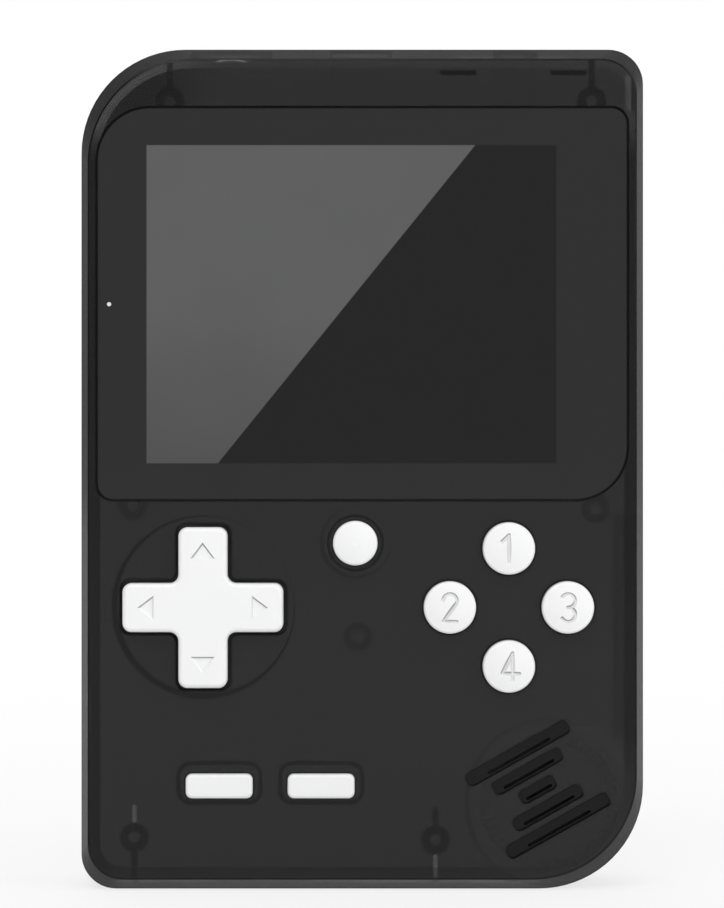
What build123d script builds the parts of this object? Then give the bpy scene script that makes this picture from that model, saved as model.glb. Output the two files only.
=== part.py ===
from build123d import *
import math
import os

# Handheld game console that stands on its lower edge.
# X runs across the face, Z runs up its height, Y runs from the face to the back.
# The origin is under the middle of the body, on the plane where the two shells meet.
# All lengths are millimetres and all angles are degrees.

# Screen lens, which sets the size of the face
lens_width = 75.9
lens_height = 56.1
lens_thick = 1.2
lens_corner_large = 7.5
lens_corner_small = 2.2
lens_gap = 0.36
lens_sunk = 0.05
lens_tape_thick = 0.1
lens_tape_width = 2.4

# Body of the console around that lens
side_margin = 2.55
top_margin = 8.7
front_depth = 10.0
rear_depth = 10.0
large_corner = 15.0
small_corner = 5.0
bevel_side = 1.15
bevel_end = 1.65
bevel_depth = 2.4
edge_round = 0.3
shell_wall = 1.9
front_plate = 2.2
rear_plate = 1.8
lip_height = 1.0
lip_gap = 0.1
lip_share = 0.5
least_corner = 0.5

# Clearances shared by several pieces
seat_gap = 0.05
slide_gap = 0.1
side_gap = 0.3
overrun = 1.0
pick = 0.001

# Display module behind the lens
window_left = 7.0
window_right = 10.1
window_top = 5.3
window_bottom = 5.15
lcd_overlap = 2.85
lcd_gasket_thick = 0.5
lcd_panel_thick = 1.3
lcd_light_thick = 1.7
lcd_frame_thick = 0.25
ribbon_width = 22.0
ribbon_thick = 0.2
ribbon_bend = 0.9
ribbon_tail = 3.4
ribbon_side_gap = 0.8
connector_tall = 3.0
connector_thick = 1.1
connector_margin = 1.5

# Main circuit board
board_thick = 1.6
board_edge_gap = 0.7
board_hole_gap = 0.4

# Screw bosses: places are measured in from the nearest walls
boss_outer = 2.1
boss_hole = 0.8
rib_thick = 0.9
rib_height = 3.4
rib_reach = 4.6
top_left_boss = (12.9, 7.7)
top_right_boss = (7.6, 7.7)
bottom_left_boss = (7.8, 7.7)
bottom_right_boss = (30.0, 7.3)
left_post = (7.5, 0.9)
right_post = (7.0, 1.4)
middle_post = (39.85, 19.8)

# Screws
screw_gap = 0.03
screw_length = 7.0
head_radius = 1.8
head_thick = 1.3
head_gap = 0.25
rear_post_radius = 3.2
rear_post_floor = 1.3
board_head_radius = 1.6
board_head_thick = 0.8
board_screw_length = 4.2
shank_gap = 0.25
drive_width = 0.45
drive_depth = 0.5
head_round_share = 0.35

# Direction pad
dpad_in = 17.7
dpad_below = 15.5
dpad_span = 23.0
dpad_arm = 7.0
dpad_tip_round = 1.3
dpad_top_round = 0.7
dpad_proud = 2.2
dpad_hole_gap = 0.45
dpad_tilt = 4.0
dpad_flange_lip = 0.7
dpad_flange_thick = 0.9
dpad_ring_gap = 0.3
dpad_ring_thick = 0.5
dpad_ring_height = 2.0
dpad_hub = 2.9
dpad_hub_gap = 0.6
pivot_radius = 1.6
arrow_width = 2.7
arrow_height = 1.8
arrow_end = 2.5
engrave_depth = 0.24
engrave_flare = 42.0

# Round buttons
action_in = 19.5
action_below = 15.5
action_above_speaker = 28.1
action_offset = 8.45
action_radius = 3.75
action_proud = 1.9
reset_x = -1.0
reset_below = 6.3
reset_radius = 3.2
reset_proud = 1.5
dome_rise = 0.55
cap_round = 0.45
hole_gap = 0.2
flange_lip = 0.75
flange_thick = 1.0
button_travel = 1.2
collar_gap = 0.35
collar_thick = 0.85
collar_height = 1.8
numeral_height = 4.0
numeral_stroke = 0.14
numeral_flare = 33.0
numeral_depth = 0.42
numeral_two_turn = 230.0
numeral_three_turn = 240.0

# Two long menu buttons
menu_in = 20.0
menu_up = 15.1
menu_pitch = 14.6
menu_width = 9.6
menu_height = 3.5
menu_corner = 0.9
menu_proud = 1.3
menu_top_round = 0.5
menu_flange_lip = 0.5
menu_collar_gap = 0.3
menu_collar_thick = 0.8

# Rubber membranes under the buttons
sheet_thick = 0.8
sheet_margin = 1.2
dome_base = 3.0
dome_top = 2.0
dome_wall = 0.5
pad_dome_from_centre = 8.0
pad_dome_base = 2.4
pad_dome_top = 1.6
dome_crown = 0.8
dome_squashed = 1.7

# Loudspeaker and its louvred grille
speaker_in = 13.6
speaker_up = 12.6
speaker_radius = 10.0
speaker_ring_radius = 12.2
speaker_ring_thick = 0.7
speaker_ring_height = 1.5
speaker_gasket_thick = 0.5
speaker_gasket_width = 1.6
speaker_flange_thick = 0.8
speaker_cup_radius = 7.4
speaker_cup_depth = 2.8
speaker_cup_wall = 0.5
cone_thick = 0.3
cone_depth = 1.1
cone_cap_radius = 3.0
magnet_radius = 5.0
magnet_thick = 2.0
coil_radius = 3.4
lead_radius = 0.4
lead_pitch = 1.6
lead_run = 7.6
lead_bend_share = 0.35
grille_left = 1.7
grille_up = 1.9
grille_angle = 29.3
grille_pitch = 2.98
grille_width = 2.1
grille_sink = 1.1
grille_slit = 0.45
grille_slit_shift = 0.5
grille_corner = 0.75
grille_edge = 0.14
grille_flare = 45.0
grille_lengths = (16.7, 11.1, 5.7, 11.1, 16.7)
grille_slit_lengths = (10.3, 8.3, 4.2, 8.3, 10.3)

# Power switch in the top wall
switch_in = 21.7
switch_width = 9.0
switch_deep = 3.4
switch_tall = 3.6
switch_drop = 3.0
switch_travel = 2.0
lever_width = 2.0
lever_deep = 1.4
knob_width = 5.7
knob_deep = 2.4
knob_sunk = 0.7
knob_ridge_width = 0.5
knob_ridge_pitch = 1.1
knob_ridges = 3
knob_flange_tall = 0.8
knob_flange_wide = 3.0

# Sockets in the top wall
usb_x = -0.2
usb_wide = 8.94
usb_deep = 3.2
usb_long = 7.3
usb_wall = 0.3
usb_corner = 1.5
usb_gap = 0.25
usb_sunk = 1.3
usb_recess_wide = 13.1
usb_tongue_wide = 6.6
usb_tongue_deep = 0.7
usb_tongue_long = 5.0
jack_in = 18.5
jack_wide = 6.4
jack_deep = 5.0
jack_long = 11.5
jack_snout_sunk = 0.3
jack_bore = 1.8
jack_bore_long = 10.0
jack_snout = 2.35
jack_recess_wide = 17.0
recess_deep = 6.0
recess_sink = 0.5
recess_corner = 1.2

# Snap hooks on the rear shell's top wall
hook_wide = 5.2
hook_thick = 1.2
hook_reach = 4.0
hook_bump = 0.5
hook_bump_long = 1.2
hook_in_outer = 10.9
hook_in_inner = 26.7

# Volume wheel in the left wall
wheel_radius = 5.5
wheel_up = 25.2
wheel_inset = 0.75
wheel_thick = 2.0
wheel_notches = 26
wheel_notch_radius = 0.35
wheel_hub = 2.2
wheel_hub_sink = 0.5
wheel_gap = 0.3
scoop_radius = 14.0
scoop_depth = 1.2
scoop_long = 10.0
pot_side = 7.6
pot_thick = 1.2
pot_shaft = 0.95
pot_shaft_gap = 0.05
wheel_screw_head = 1.5
wheel_screw_shank = 0.45
wheel_screw_long = 1.1

# Battery, its bay and its door
battery_wide = 34.0
battery_tall = 53.0
battery_thick = 5.8
battery_corner = 2.0
battery_x = -4.0
battery_up = 14.5
bay_gap = 0.4
bay_wall = 1.4
bay_floor = 1.4
door_margin = 2.2
door_thick = 1.6
door_gap = 0.15
door_corner = 2.5
door_rim = 1.2
door_rim_deep = 1.4
door_tab_wide = 4.0
door_tab_long = 1.2
door_tab_thick = 0.7
door_tab_spread = 11.0
thumb_wide = 11.0
thumb_tall = 3.4
thumb_sink = 0.6
door_ridge_count = 3
door_ridge_pitch = 1.6
door_ridge_wide = 0.6
door_ridge_proud = 0.35
door_ridge_below = 6.0
contact_wide = 1.4
contact_pitch = 2.4
contact_count = 3
contact_in = 4.0
contact_proud = 0.35
contact_thick = 0.3
block_wide = 8.0
block_deep = 6.4
block_side_gap = 0.2

# Parts soldered to the board
main_chip_side = 12.0
main_chip_thick = 1.2
main_chip_up = 88.0
main_chip_x = 4.0
flash_wide = 6.0
flash_tall = 5.0
flash_thick = 1.0
flash_step = 14.0
crystal_wide = 3.2
crystal_tall = 5.0
crystal_thick = 0.9
crystal_step = 11.5
capacitor_long = 1.6
capacitor_wide = 0.8
capacitor_thick = 0.8
capacitor_pitch = 3.2
capacitor_count = 7
led_side = 1.6
led_thick = 0.8
pipe_tip = 0.3
pipe_body = 0.9
pipe_gap = 0.05

# Levels through the depth, from the face towards the back
front_face = -front_depth
plate_back = front_face + front_plate
flange_front = plate_back + slide_gap
flange_back = flange_front + flange_thick
sheet_front = flange_back + button_travel + dome_squashed
board_front = sheet_front + sheet_thick
board_rear = board_front + board_thick
rear_face = rear_depth
rear_inner = rear_face - rear_plate
lens_front = front_face + lens_sunk
lens_back = lens_front + lens_thick
lens_seat = lens_back + lens_tape_thick
gasket_back = plate_back + lcd_gasket_thick
panel_back = gasket_back + lcd_panel_thick
light_back = panel_back + lcd_light_thick
lcd_back = light_back + lcd_frame_thick
speaker_front = plate_back + speaker_gasket_thick
speaker_flange_back = speaker_front + speaker_flange_thick
speaker_cup_back = speaker_flange_back + speaker_cup_depth
door_inner = rear_face - door_thick
battery_front = door_inner - slide_gap - battery_thick
bay_inner = battery_front - slide_gap
bay_outer = bay_inner - bay_floor

# Edges of the body and of the lens: the control area is as high as what it holds
control_height = speaker_up + action_above_speaker + action_below
body_width = lens_width + side_margin + side_margin
body_height = control_height + lens_height + top_margin
right = body_width / 2
left = -right
lens_left = left + side_margin
lens_right = right - side_margin
lens_bottom = control_height
lens_top = lens_bottom + lens_height
screen_left = lens_left + window_left
screen_right = lens_right - window_right
screen_bottom = lens_bottom + window_bottom
screen_top = lens_top - window_top
screen_x = (screen_left + screen_right) / 2
inner_left = left + shell_wall
inner_top = body_height - shell_wall

# Centres of the controls and of the pieces that the walls carry
dpad_x = left + dpad_in
dpad_z = lens_bottom - dpad_below
action_x = right - action_in
action_z = lens_bottom - action_below
reset_z = lens_bottom - reset_below
select_x = left + menu_in
start_x = select_x + menu_pitch
speaker_x = right - speaker_in
speaker_z = speaker_up
switch_x = left + switch_in
jack_x = right - jack_in
wheel_x = left + wheel_inset + wheel_radius
wheel_front = board_rear + pot_thick + wheel_gap / 2
wheel_back = wheel_front + wheel_thick
led_x = (screen_left - lcd_overlap - lcd_frame_thick + inner_left) / 2
led_z = (screen_bottom + screen_top) / 2
switch_y = board_rear + switch_deep / 2
usb_y = board_rear + usb_deep / 2
jack_y = board_rear + jack_deep / 2
usb_mouth = body_height - usb_sunk
action_places = {
    "button_top": (action_x, action_z + action_offset, 1),
    "button_left": (action_x - action_offset, action_z, 2),
    "button_right": (action_x + action_offset, action_z, 3),
    "button_bottom": (action_x, action_z - action_offset, 4),
}
shell_screw_places = (
    (left + top_left_boss[0], body_height - top_left_boss[1]),
    (right - top_right_boss[0], body_height - top_right_boss[1]),
    (left + bottom_left_boss[0], bottom_left_boss[1]),
    (right - bottom_right_boss[0], bottom_right_boss[1]),
)
board_screw_places = (
    (left + left_post[0], lens_bottom - left_post[1]),
    (right - right_post[0], lens_bottom - right_post[1]),
    (left + middle_post[0], lens_bottom - middle_post[1]),
)

# Sizes that follow from the controls they serve
dpad_reach = dpad_span / 2
dpad_flange = dpad_reach + dpad_hole_gap + dpad_flange_lip - dpad_hole_gap / 2
double_tilt = math.acos(math.cos(math.radians(dpad_tilt)) ** 2)
dpad_flange_front = plate_back + slide_gap + dpad_flange * math.sin(double_tilt)
dpad_flange_back = dpad_flange_front + dpad_flange_thick
dpad_ring_inner = dpad_flange + dpad_ring_gap
pivot_y = board_front - seat_gap - pivot_radius
battery_left = battery_x - battery_wide / 2
battery_right = battery_x + battery_wide / 2
battery_top = battery_up + battery_tall
contact_x = battery_left + contact_in
door_left = battery_left - bay_gap - door_margin
door_right = battery_right + bay_gap + door_margin
door_bottom = battery_up - bay_gap - door_margin
door_top = battery_top + bay_gap + bay_wall + door_margin


def facing(depth):
    """Plane at a depth on which an outline in X and Z is drawn."""
    return Plane(origin=(0, depth, 0), x_dir=(1, 0, 0), z_dir=(0, -1, 0))


def layer(outline, near, far):
    """Solid of an outline drawn in X and Z, between two depths."""
    return extrude(facing(far) * outline, far - near, dir=(0, -1, 0))


def flared(outline, near, far, angle):
    """Solid of an outline drawn at the far depth, which widens towards the near one."""
    return extrude(facing(far) * outline, far - near, dir=(0, -1, 0), taper=-angle)


def at(x, z):
    """Place of an outline on the face."""
    return Location((x, z, 0))


def outline_box(x_low, x_high, z_low, z_high):
    """Plain rectangle given by its edges."""
    centre = at((x_low + x_high) / 2, (z_low + z_high) / 2)
    return centre * Rectangle(x_high - x_low, z_high - z_low)


def outline_round(x_low, x_high, z_low, z_high, corners):
    """Rectangle with its own radius at lower left, lower right, upper right, upper left."""
    points = ((x_low, z_low), (x_high, z_low), (x_high, z_high), (x_low, z_high))
    return make_face(FilletPolyline(*points, radius=corners, close=True))


def body_outline(inset=0):
    """Silhouette of the console, drawn in by an inset."""
    large = max(large_corner - inset, least_corner)
    small = max(small_corner - inset, least_corner)
    corners = (small, large, small, large)
    return outline_round(left + inset, right - inset, inset, body_height - inset, corners)


def lens_outline(grow=0):
    """Outline of the screen lens, grown on all sides."""
    large = lens_corner_large + grow
    small = lens_corner_small + grow
    return outline_round(
        lens_left - grow, lens_right + grow, lens_bottom - grow, lens_top + grow,
        (small, large, small, large),
    )


def screen_outline(grow=0):
    """Outline of the display window, grown on all sides."""
    return outline_box(
        screen_left - grow, screen_right + grow, screen_bottom - grow, screen_top + grow
    )


def brick(x_low, x_high, near, far, z_low, z_high):
    """Plain block between two places on each axis."""
    return layer(outline_box(x_low, x_high, z_low, z_high), near, far)


def turned(profile, x, z):
    """Solid turned about a line along Y, from a profile in radius and depth."""
    return Location((x, 0, z)) * revolve(profile, Axis.Y)


def disc(x, z, radius, near, far):
    """Round solid along Y."""
    return layer(at(x, z) * Circle(radius), near, far)


def tube(x, z, outer, inner, near, far):
    """Round tube along Y."""
    return layer(at(x, z) * (Circle(outer) - Circle(inner)), near, far)


def edges_at(solid, depth):
    """Edges of a solid that lie in one plane of depth."""
    return solid.edges().filter_by_position(Axis.Y, depth - pick, depth + pick)


def face_outline():
    """Flat of the face inside the bevel, with the same corners as the silhouette."""
    corners = (small_corner, large_corner, small_corner, large_corner)
    return outline_round(
        left + bevel_side, right - bevel_side, bevel_end, body_height - bevel_end, corners
    )


def shell_blank(depth):
    """Solid half of the body, from the parting plane to a bevelled face at a depth."""
    straight = layer(body_outline(), bevel_depth - depth, 0)
    ends = [facing(bevel_depth - depth) * body_outline(), facing(-depth) * face_outline()]
    blank = straight + loft(ends, ruled=True)
    blank = fillet(edges_at(blank, -depth), edge_round)
    return blank


def louvre_cuts():
    """Slots of the grille: a broken edge, a sunk floor and a thin slit right through."""
    cuts = []
    turn = Location((0, 0, 0), (0, 0, grille_angle))
    centre = at(speaker_x - grille_left, speaker_z + grille_up)
    middle = (len(grille_lengths) - 1) / 2
    for index, length in enumerate(grille_lengths):
        across = (middle - index) * grille_pitch
        slot = centre * turn * at(0, across) * RectangleRounded(length, grille_width, grille_corner)
        shifted = centre * turn * at(0, across - grille_slit_shift)
        slit = shifted * SlotOverall(grille_slit_lengths[index], grille_slit)
        rim = front_face + grille_edge
        cuts.append(layer(slot, rim, front_face + grille_sink))
        cuts.append(flared(slot, front_face, rim, grille_flare))
        cuts.append(layer(slit, front_face, plate_back + overrun))
    return cuts


def cross_outline(grow=0, tip_round=dpad_tip_round):
    """Outline of the direction pad's cross."""
    reach = dpad_reach + grow
    half = dpad_arm / 2 + grow
    points = []
    for turn in range(4):
        angle = math.radians(turn * 360 / 4)
        for along, across in ((reach, -half), (reach, half), (half, half)):
            x = along * math.cos(angle) - across * math.sin(angle)
            z = along * math.sin(angle) + across * math.cos(angle)
            points.append((x, z))
    return make_face(FilletPolyline(*points, radius=tip_round, close=True))


def menu_outline(grow=0):
    """Outline of a menu button, grown on all sides."""
    return RectangleRounded(
        menu_width + grow + grow, menu_height + grow + grow, menu_corner + grow
    )


def front_boss(x, z):
    """Tapped boss of the front shell, with a rib that ties it to the nearest end wall."""
    boss = disc(x, z, boss_outer, plate_back - seat_gap, -seat_gap)
    low, high = (0, z + rib_reach) if z < lens_bottom else (z, body_height)
    half = rib_thick / 2
    return boss + brick(x - half, x + half, plate_back - seat_gap, plate_back + rib_height, low, high)


def front_features():
    """Everything that stands up from the inside of the front plate."""
    root = plate_back - seat_gap
    parts = []
    for x, z in shell_screw_places:
        parts.append(front_boss(x, z))
    for x, z in board_screw_places:
        parts.append(disc(x, z, boss_outer, root, board_front - seat_gap))
    flange = reset_radius + flange_lip + collar_gap
    parts.append(tube(reset_x, reset_z, flange + collar_thick, flange, root, plate_back + collar_height))
    ring = dpad_ring_inner
    parts.append(tube(dpad_x, dpad_z, ring + dpad_ring_thick, ring, root, plate_back + dpad_ring_height))
    collar = menu_flange_lip + menu_collar_gap
    for x in (select_x, start_x):
        frame = menu_outline(collar + menu_collar_thick) - menu_outline(collar)
        parts.append(layer(at(x, menu_up) * frame, root, plate_back + collar_height))
    parts.append(
        tube(speaker_x, speaker_z, speaker_ring_radius, speaker_ring_radius - speaker_ring_thick,
             root, plate_back + speaker_ring_height)
    )
    return parts


def front_openings():
    """Everything that is cut through the front plate."""
    outside = front_face - overrun
    inside = plate_back + overrun
    cuts = [layer(lens_outline(lens_gap), outside, lens_seat), layer(screen_outline(), outside, inside)]
    for x, z, _ in action_places.values():
        cuts.append(disc(x, z, action_radius + hole_gap, outside, inside))
    cuts.append(disc(reset_x, reset_z, reset_radius + hole_gap, outside, inside))
    cuts.append(layer(at(dpad_x, dpad_z) * cross_outline(dpad_hole_gap), outside, inside))
    for x in (select_x, start_x):
        cuts.append(layer(at(x, menu_up) * menu_outline(hole_gap), outside, inside))
    cuts.append(disc(led_x, led_z, pipe_tip + pipe_gap, outside, inside))
    return cuts + louvre_cuts()


def round_slot(x, y, wide, deep, corner, z_low, z_high):
    """Upright prism with a rounded outline, for what passes through the top wall."""
    outline = Location((x, y, z_low)) * RectangleRounded(wide, deep, corner)
    return extrude(outline, z_high - z_low, dir=(0, 0, 1))


def wall_openings():
    """Cuts for the sockets, the switch and the wheel, shared by both shells."""
    above = body_height + overrun
    below = inner_top - overrun
    recess = body_height - recess_sink
    slot = knob_width + switch_travel + switch_travel + side_gap + side_gap
    knob_slot = knob_deep + slide_gap + slide_gap
    cuts = [
        round_slot(switch_x, switch_y, slot, knob_slot, side_gap, below, above),
        round_slot(usb_x, usb_y, usb_wide + usb_gap + usb_gap, usb_deep + usb_gap + usb_gap,
                   usb_corner, below, above),
        round_slot(usb_x, usb_y, usb_recess_wide, recess_deep, recess_corner, recess, above),
        round_slot(jack_x, jack_y, jack_recess_wide, recess_deep, recess_corner, recess, above),
        Location((jack_x, jack_y, below)) * extrude(Circle(jack_snout + slide_gap), above - below),
    ]
    chord = wheel_radius + wheel_gap
    half = math.sqrt(chord ** 2 - (wheel_x - inner_left) ** 2) + wheel_gap
    cuts.append(
        brick(left - overrun, inner_left + overrun, wheel_front - wheel_gap, wheel_back + wheel_gap,
              wheel_up - half, wheel_up + half)
    )
    middle = (wheel_front + wheel_back) / 2
    cuts.append(
        disc(left + scoop_depth - scoop_radius, wheel_up, scoop_radius,
             middle - scoop_long / 2, middle + scoop_long / 2)
    )
    return cuts


def hook_places():
    """Middle of each snap hook along the top wall."""
    return (right - hook_in_outer, right - hook_in_inner)


def front_shell():
    """Front cover: bevelled tray with the control openings, collars and bosses."""
    shell = shell_blank(front_depth)
    shell -= layer(body_outline(shell_wall), plate_back, overrun)
    rebate = body_outline(shell_wall * lip_share) - body_outline(shell_wall)
    shell -= layer(rebate, -lip_height - lip_gap, overrun)
    inside = layer(body_outline(shell_wall - seat_gap), plate_back - overrun, 0)
    shell += [part & inside for part in front_features()]
    cuts = front_openings() + wall_openings()
    for x, z in shell_screw_places + board_screw_places:
        cuts.append(disc(x, z, boss_hole, plate_back + seat_gap, overrun))
    for x in hook_places():
        half = hook_wide / 2 + side_gap
        cuts.append(
            brick(x - half, x + half, -hook_reach - slide_gap, -hook_reach + hook_bump_long + side_gap,
                  inner_top - seat_gap, inner_top + hook_bump)
        )
    return shell - cuts


def snap_hook(x):
    """Finger of the rear shell that reaches under the front shell's top wall."""
    half = hook_wide / 2
    top = inner_top - slide_gap
    finger = brick(x - half, x + half, -hook_reach, bay_floor, top - hook_thick, top)
    root = brick(x - half, x + half, lip_gap, bay_floor, top - hook_thick, inner_top + seat_gap)
    bump = brick(x - half, x + half, -hook_reach, -hook_reach + hook_bump_long,
                 top - seat_gap, top + hook_bump - slide_gap)
    return finger + root + bump


def door_outline(grow=0):
    """Outline of the battery door, grown on all sides."""
    corner = door_corner + grow
    return outline_round(
        door_left - grow, door_right + grow, door_bottom - grow, door_top + grow,
        (corner, corner, corner, corner),
    )


def bay_outline(grow=0):
    """Outline of the battery bay, grown on all sides."""
    grown = bay_gap + grow
    return outline_box(
        battery_left - grown, battery_right + grown, battery_up - grown, battery_top + grown
    )


def door_tab_places():
    """Middle of each tab at the door's lower edge."""
    return (battery_x - door_tab_spread, battery_x + door_tab_spread)


def block_outline(grow=0):
    """Outline of the battery contact block, in the upper wall of the bay."""
    half = block_wide / 2 + grow
    low = battery_top + bay_gap
    return outline_box(contact_x - half, contact_x + half, low - grow, low + bay_wall + grow)


def rear_posts():
    """Posts that take the long screws from behind."""
    posts = []
    for x, z in shell_screw_places:
        posts.append(disc(x, z, rear_post_radius, seat_gap, rear_inner + seat_gap))
    return posts


def rear_shell():
    """Rear cover: bevelled tray with the battery bay, posts, lip and snap hooks."""
    shell = mirror(shell_blank(rear_depth), Plane.XZ)
    shell -= layer(body_outline(shell_wall), -overrun, rear_inner)
    lip = body_outline(shell_wall * lip_share + lip_gap) - body_outline(shell_wall)
    added = rear_posts() + [snap_hook(x) for x in hook_places()]
    added.append(layer(lip, -lip_height, seat_gap))
    added.append(layer(bay_outline(bay_wall), bay_outer, rear_inner + seat_gap))
    added.append(layer(door_outline(door_rim), door_inner - door_rim_deep, rear_inner + seat_gap))
    cuts = tab_pockets() + wall_openings()
    cuts.append(layer(bay_outline(), bay_inner, rear_face + overrun))
    cuts.append(layer(door_outline(door_gap), door_inner - seat_gap, rear_face + overrun))
    cuts.append(layer(block_outline(block_side_gap), bay_outer - overrun, door_inner))
    for x, z in shell_screw_places:
        cuts.append(disc(x, z, boss_hole + shank_gap, -overrun, rear_face))
        cuts.append(disc(x, z, head_radius + head_gap, rear_post_floor, rear_face + overrun))
    return shell + added - cuts


def tab_pockets():
    """Room below the door's lower edge for its tabs to swing in."""
    swing = math.hypot(door_thick, door_tab_long) + door_gap
    pockets = []
    for x in door_tab_places():
        half = door_tab_wide / 2 + side_gap
        pockets.append(
            brick(x - half, x + half, rear_face - swing, door_inner + door_tab_thick + door_gap,
                  door_bottom - door_tab_long - side_gap, door_bottom + door_margin)
        )
    return pockets


def battery_door():
    """Door over the battery, with two tabs below, a thumb dip above and grip ridges."""
    door = layer(door_outline(), door_inner, rear_face)
    for x in door_tab_places():
        half = door_tab_wide / 2
        door += brick(x - half, x + half, door_inner, door_inner + door_tab_thick,
                      door_bottom - door_tab_long, door_bottom + door_margin)
    dip = at(battery_x, door_top) * SlotOverall(thumb_wide, thumb_tall)
    door -= layer(dip, rear_face - thumb_sink, rear_face + overrun)
    for index in range(door_ridge_count):
        z = door_top - door_ridge_below - index * door_ridge_pitch
        ridge = at(battery_x, z) * SlotOverall(thumb_wide, door_ridge_wide)
        door -= layer(ridge, rear_face - door_ridge_proud, rear_face + overrun)
    return door


def screen_lens():
    """Clear cover over the display, with a pinhole for the power light."""
    lens = layer(lens_outline(), lens_front, lens_back)
    lens -= disc(led_x, led_z, pipe_tip + pipe_gap, lens_front - overrun, lens_back + overrun)
    return chamfer(edges_at(lens, lens_front).filter_by(GeomType.CIRCLE, reverse=True), lens_sunk)


def lens_tape():
    """Adhesive frame between the lens and its seat."""
    outline = lens_outline() - screen_outline(lens_tape_width / 2)
    tape = layer(outline, lens_back, lens_seat)
    return tape - disc(led_x, led_z, pipe_body, lens_front, plate_back)


def lcd_gasket():
    """Foam frame between the plate and the display."""
    frame = screen_outline(lcd_overlap) - screen_outline(lcd_frame_thick)
    return layer(frame, plate_back, gasket_back)


def lcd_panel():
    """Glass of the display."""
    return layer(screen_outline(lcd_overlap), gasket_back, panel_back)


def lcd_backlight():
    """Light guide behind the glass."""
    return layer(screen_outline(lcd_overlap), panel_back, light_back)


def ribbon_line():
    """Middle line of the display cable, in depth and height: down, through the board, up."""
    low = screen_bottom - lcd_overlap
    bend = low - lcd_frame_thick - ribbon_bend - ribbon_bend
    front = (panel_back + light_back) / 2
    back = board_rear + connector_thick / 2
    return FilletPolyline(
        (front, low), (front, bend), (back, bend), (back, bend + ribbon_bend + ribbon_tail),
        radius=ribbon_bend,
    )


def lcd_frame():
    """Pressed metal tray that holds the glass and the light guide."""
    outer = screen_outline(lcd_overlap + seat_gap + lcd_frame_thick)
    tray = layer(outer, gasket_back, lcd_back)
    tray -= layer(screen_outline(lcd_overlap + seat_gap), gasket_back - overrun, light_back)
    half = ribbon_width / 2 + ribbon_side_gap
    low = screen_bottom - lcd_overlap
    return tray - brick(screen_x - half, screen_x + half, gasket_back, light_back, low - overrun, low)


def lcd_ribbon():
    """Flat cable from the display's lower edge, through a slot in the board, to its connector."""
    band = trace(ribbon_line(), ribbon_thick)
    start = Plane(origin=(screen_x - ribbon_width / 2, 0, 0), x_dir=(0, 1, 0), z_dir=(1, 0, 0))
    return extrude(start * band, ribbon_width, dir=(1, 0, 0))


def lcd_connector():
    """Connector behind the board that takes the end of the display cable."""
    low = ribbon_line() @ 1
    half = ribbon_width / 2 + connector_margin
    return brick(screen_x - half, screen_x + half, board_rear, board_rear + connector_thick,
                 low.Y, low.Y + connector_tall)


def board_outline():
    """Outline of the main board, cut away round the loudspeaker and below the snap hooks."""
    whole = body_outline(shell_wall + board_edge_gap)
    top = inner_top - slide_gap - hook_thick - board_edge_gap
    around = speaker_radius + board_hole_gap
    cut = at(speaker_x, speaker_z) * Circle(around)
    cut += outline_box(speaker_x - around, right, 0, speaker_z)
    cut += outline_box(speaker_x, right, 0, speaker_z + around)
    return (whole & outline_box(left, right, 0, top)) - cut


def main_board():
    """Circuit board that carries the controls, the sockets and the display."""
    board = layer(board_outline(), board_front, board_rear)
    near, far = board_front - overrun, board_rear + overrun
    cuts = [disc(x, z, boss_outer + board_hole_gap, near, far) for x, z in shell_screw_places]
    cuts += [disc(x, z, boss_hole + shank_gap, near, far) for x, z in board_screw_places]
    half = ribbon_width / 2 + ribbon_side_gap
    slot = screen_bottom - lcd_overlap - lcd_frame_thick - ribbon_bend - ribbon_bend
    cuts.append(brick(screen_x - half, screen_x + half, near, far, slot - ribbon_bend, slot + ribbon_bend))
    return board - cuts


def hollow_dome(x, z, base, top, back):
    """Rubber dome: solid outside and the hollow under it, from the sheet to a button."""
    outside = make_face(
        Polyline((0, sheet_front), (base, sheet_front), (top, back), (0, back), close=True)
    )
    inside_base, inside_top = base - dome_wall, top - dome_wall
    floor = board_front + overrun
    inside = make_face(
        Polyline((0, floor), (inside_base, floor), (inside_base, sheet_front),
                 (inside_top, back + dome_crown), (0, back + dome_crown), close=True)
    )
    return turned(outside, x, z), turned(inside, x, z)


def membrane(sheet, places, base, top, back):
    """Rubber sheet on the board with a hollow dome at each place."""
    solid = layer(sheet, sheet_front, board_front)
    domes = [hollow_dome(x, z, base, top, back) for x, z in places]
    return solid + [dome for dome, _ in domes] - [hollow for _, hollow in domes]


def dpad_membrane():
    """Round membrane with four domes and a hole for the pivot ball."""
    places = []
    for turn in range(4):
        angle = math.radians(turn * 360 / 4)
        x = dpad_x + pad_dome_from_centre * math.cos(angle)
        places.append((x, dpad_z + pad_dome_from_centre * math.sin(angle)))
    sheet = at(dpad_x, dpad_z) * (Circle(dpad_flange) - Circle(dpad_hub + dpad_hub_gap))
    return membrane(sheet, places, pad_dome_base, pad_dome_top, dpad_flange_back)


def action_membrane():
    """Round membrane with a dome under each of the four action buttons."""
    places = [(x, z) for x, z, _ in action_places.values()]
    sheet = at(action_x, action_z) * Circle(action_offset + dome_base + sheet_margin)
    return membrane(sheet, places, dome_base, dome_top, flange_back)


def reset_membrane():
    """Small round membrane under the reset button."""
    sheet = at(reset_x, reset_z) * Circle(dome_base + sheet_margin)
    return membrane(sheet, [(reset_x, reset_z)], dome_base, dome_top, flange_back)


def menu_membrane():
    """Long membrane with a dome under each menu button."""
    half = dome_base + sheet_margin
    sheet = outline_box(select_x - half, start_x + half, menu_up - half, menu_up + half)
    places = [(x, menu_up) for x in (select_x, start_x)]
    return membrane(sheet, places, dome_base, dome_top, flange_back)


def triangle(width, height):
    """Outline of an engraved arrow that points up from the middle of its base."""
    half = width / 2
    return make_face(Polyline((-half, 0), (half, 0), (0, height), close=True))


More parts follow.
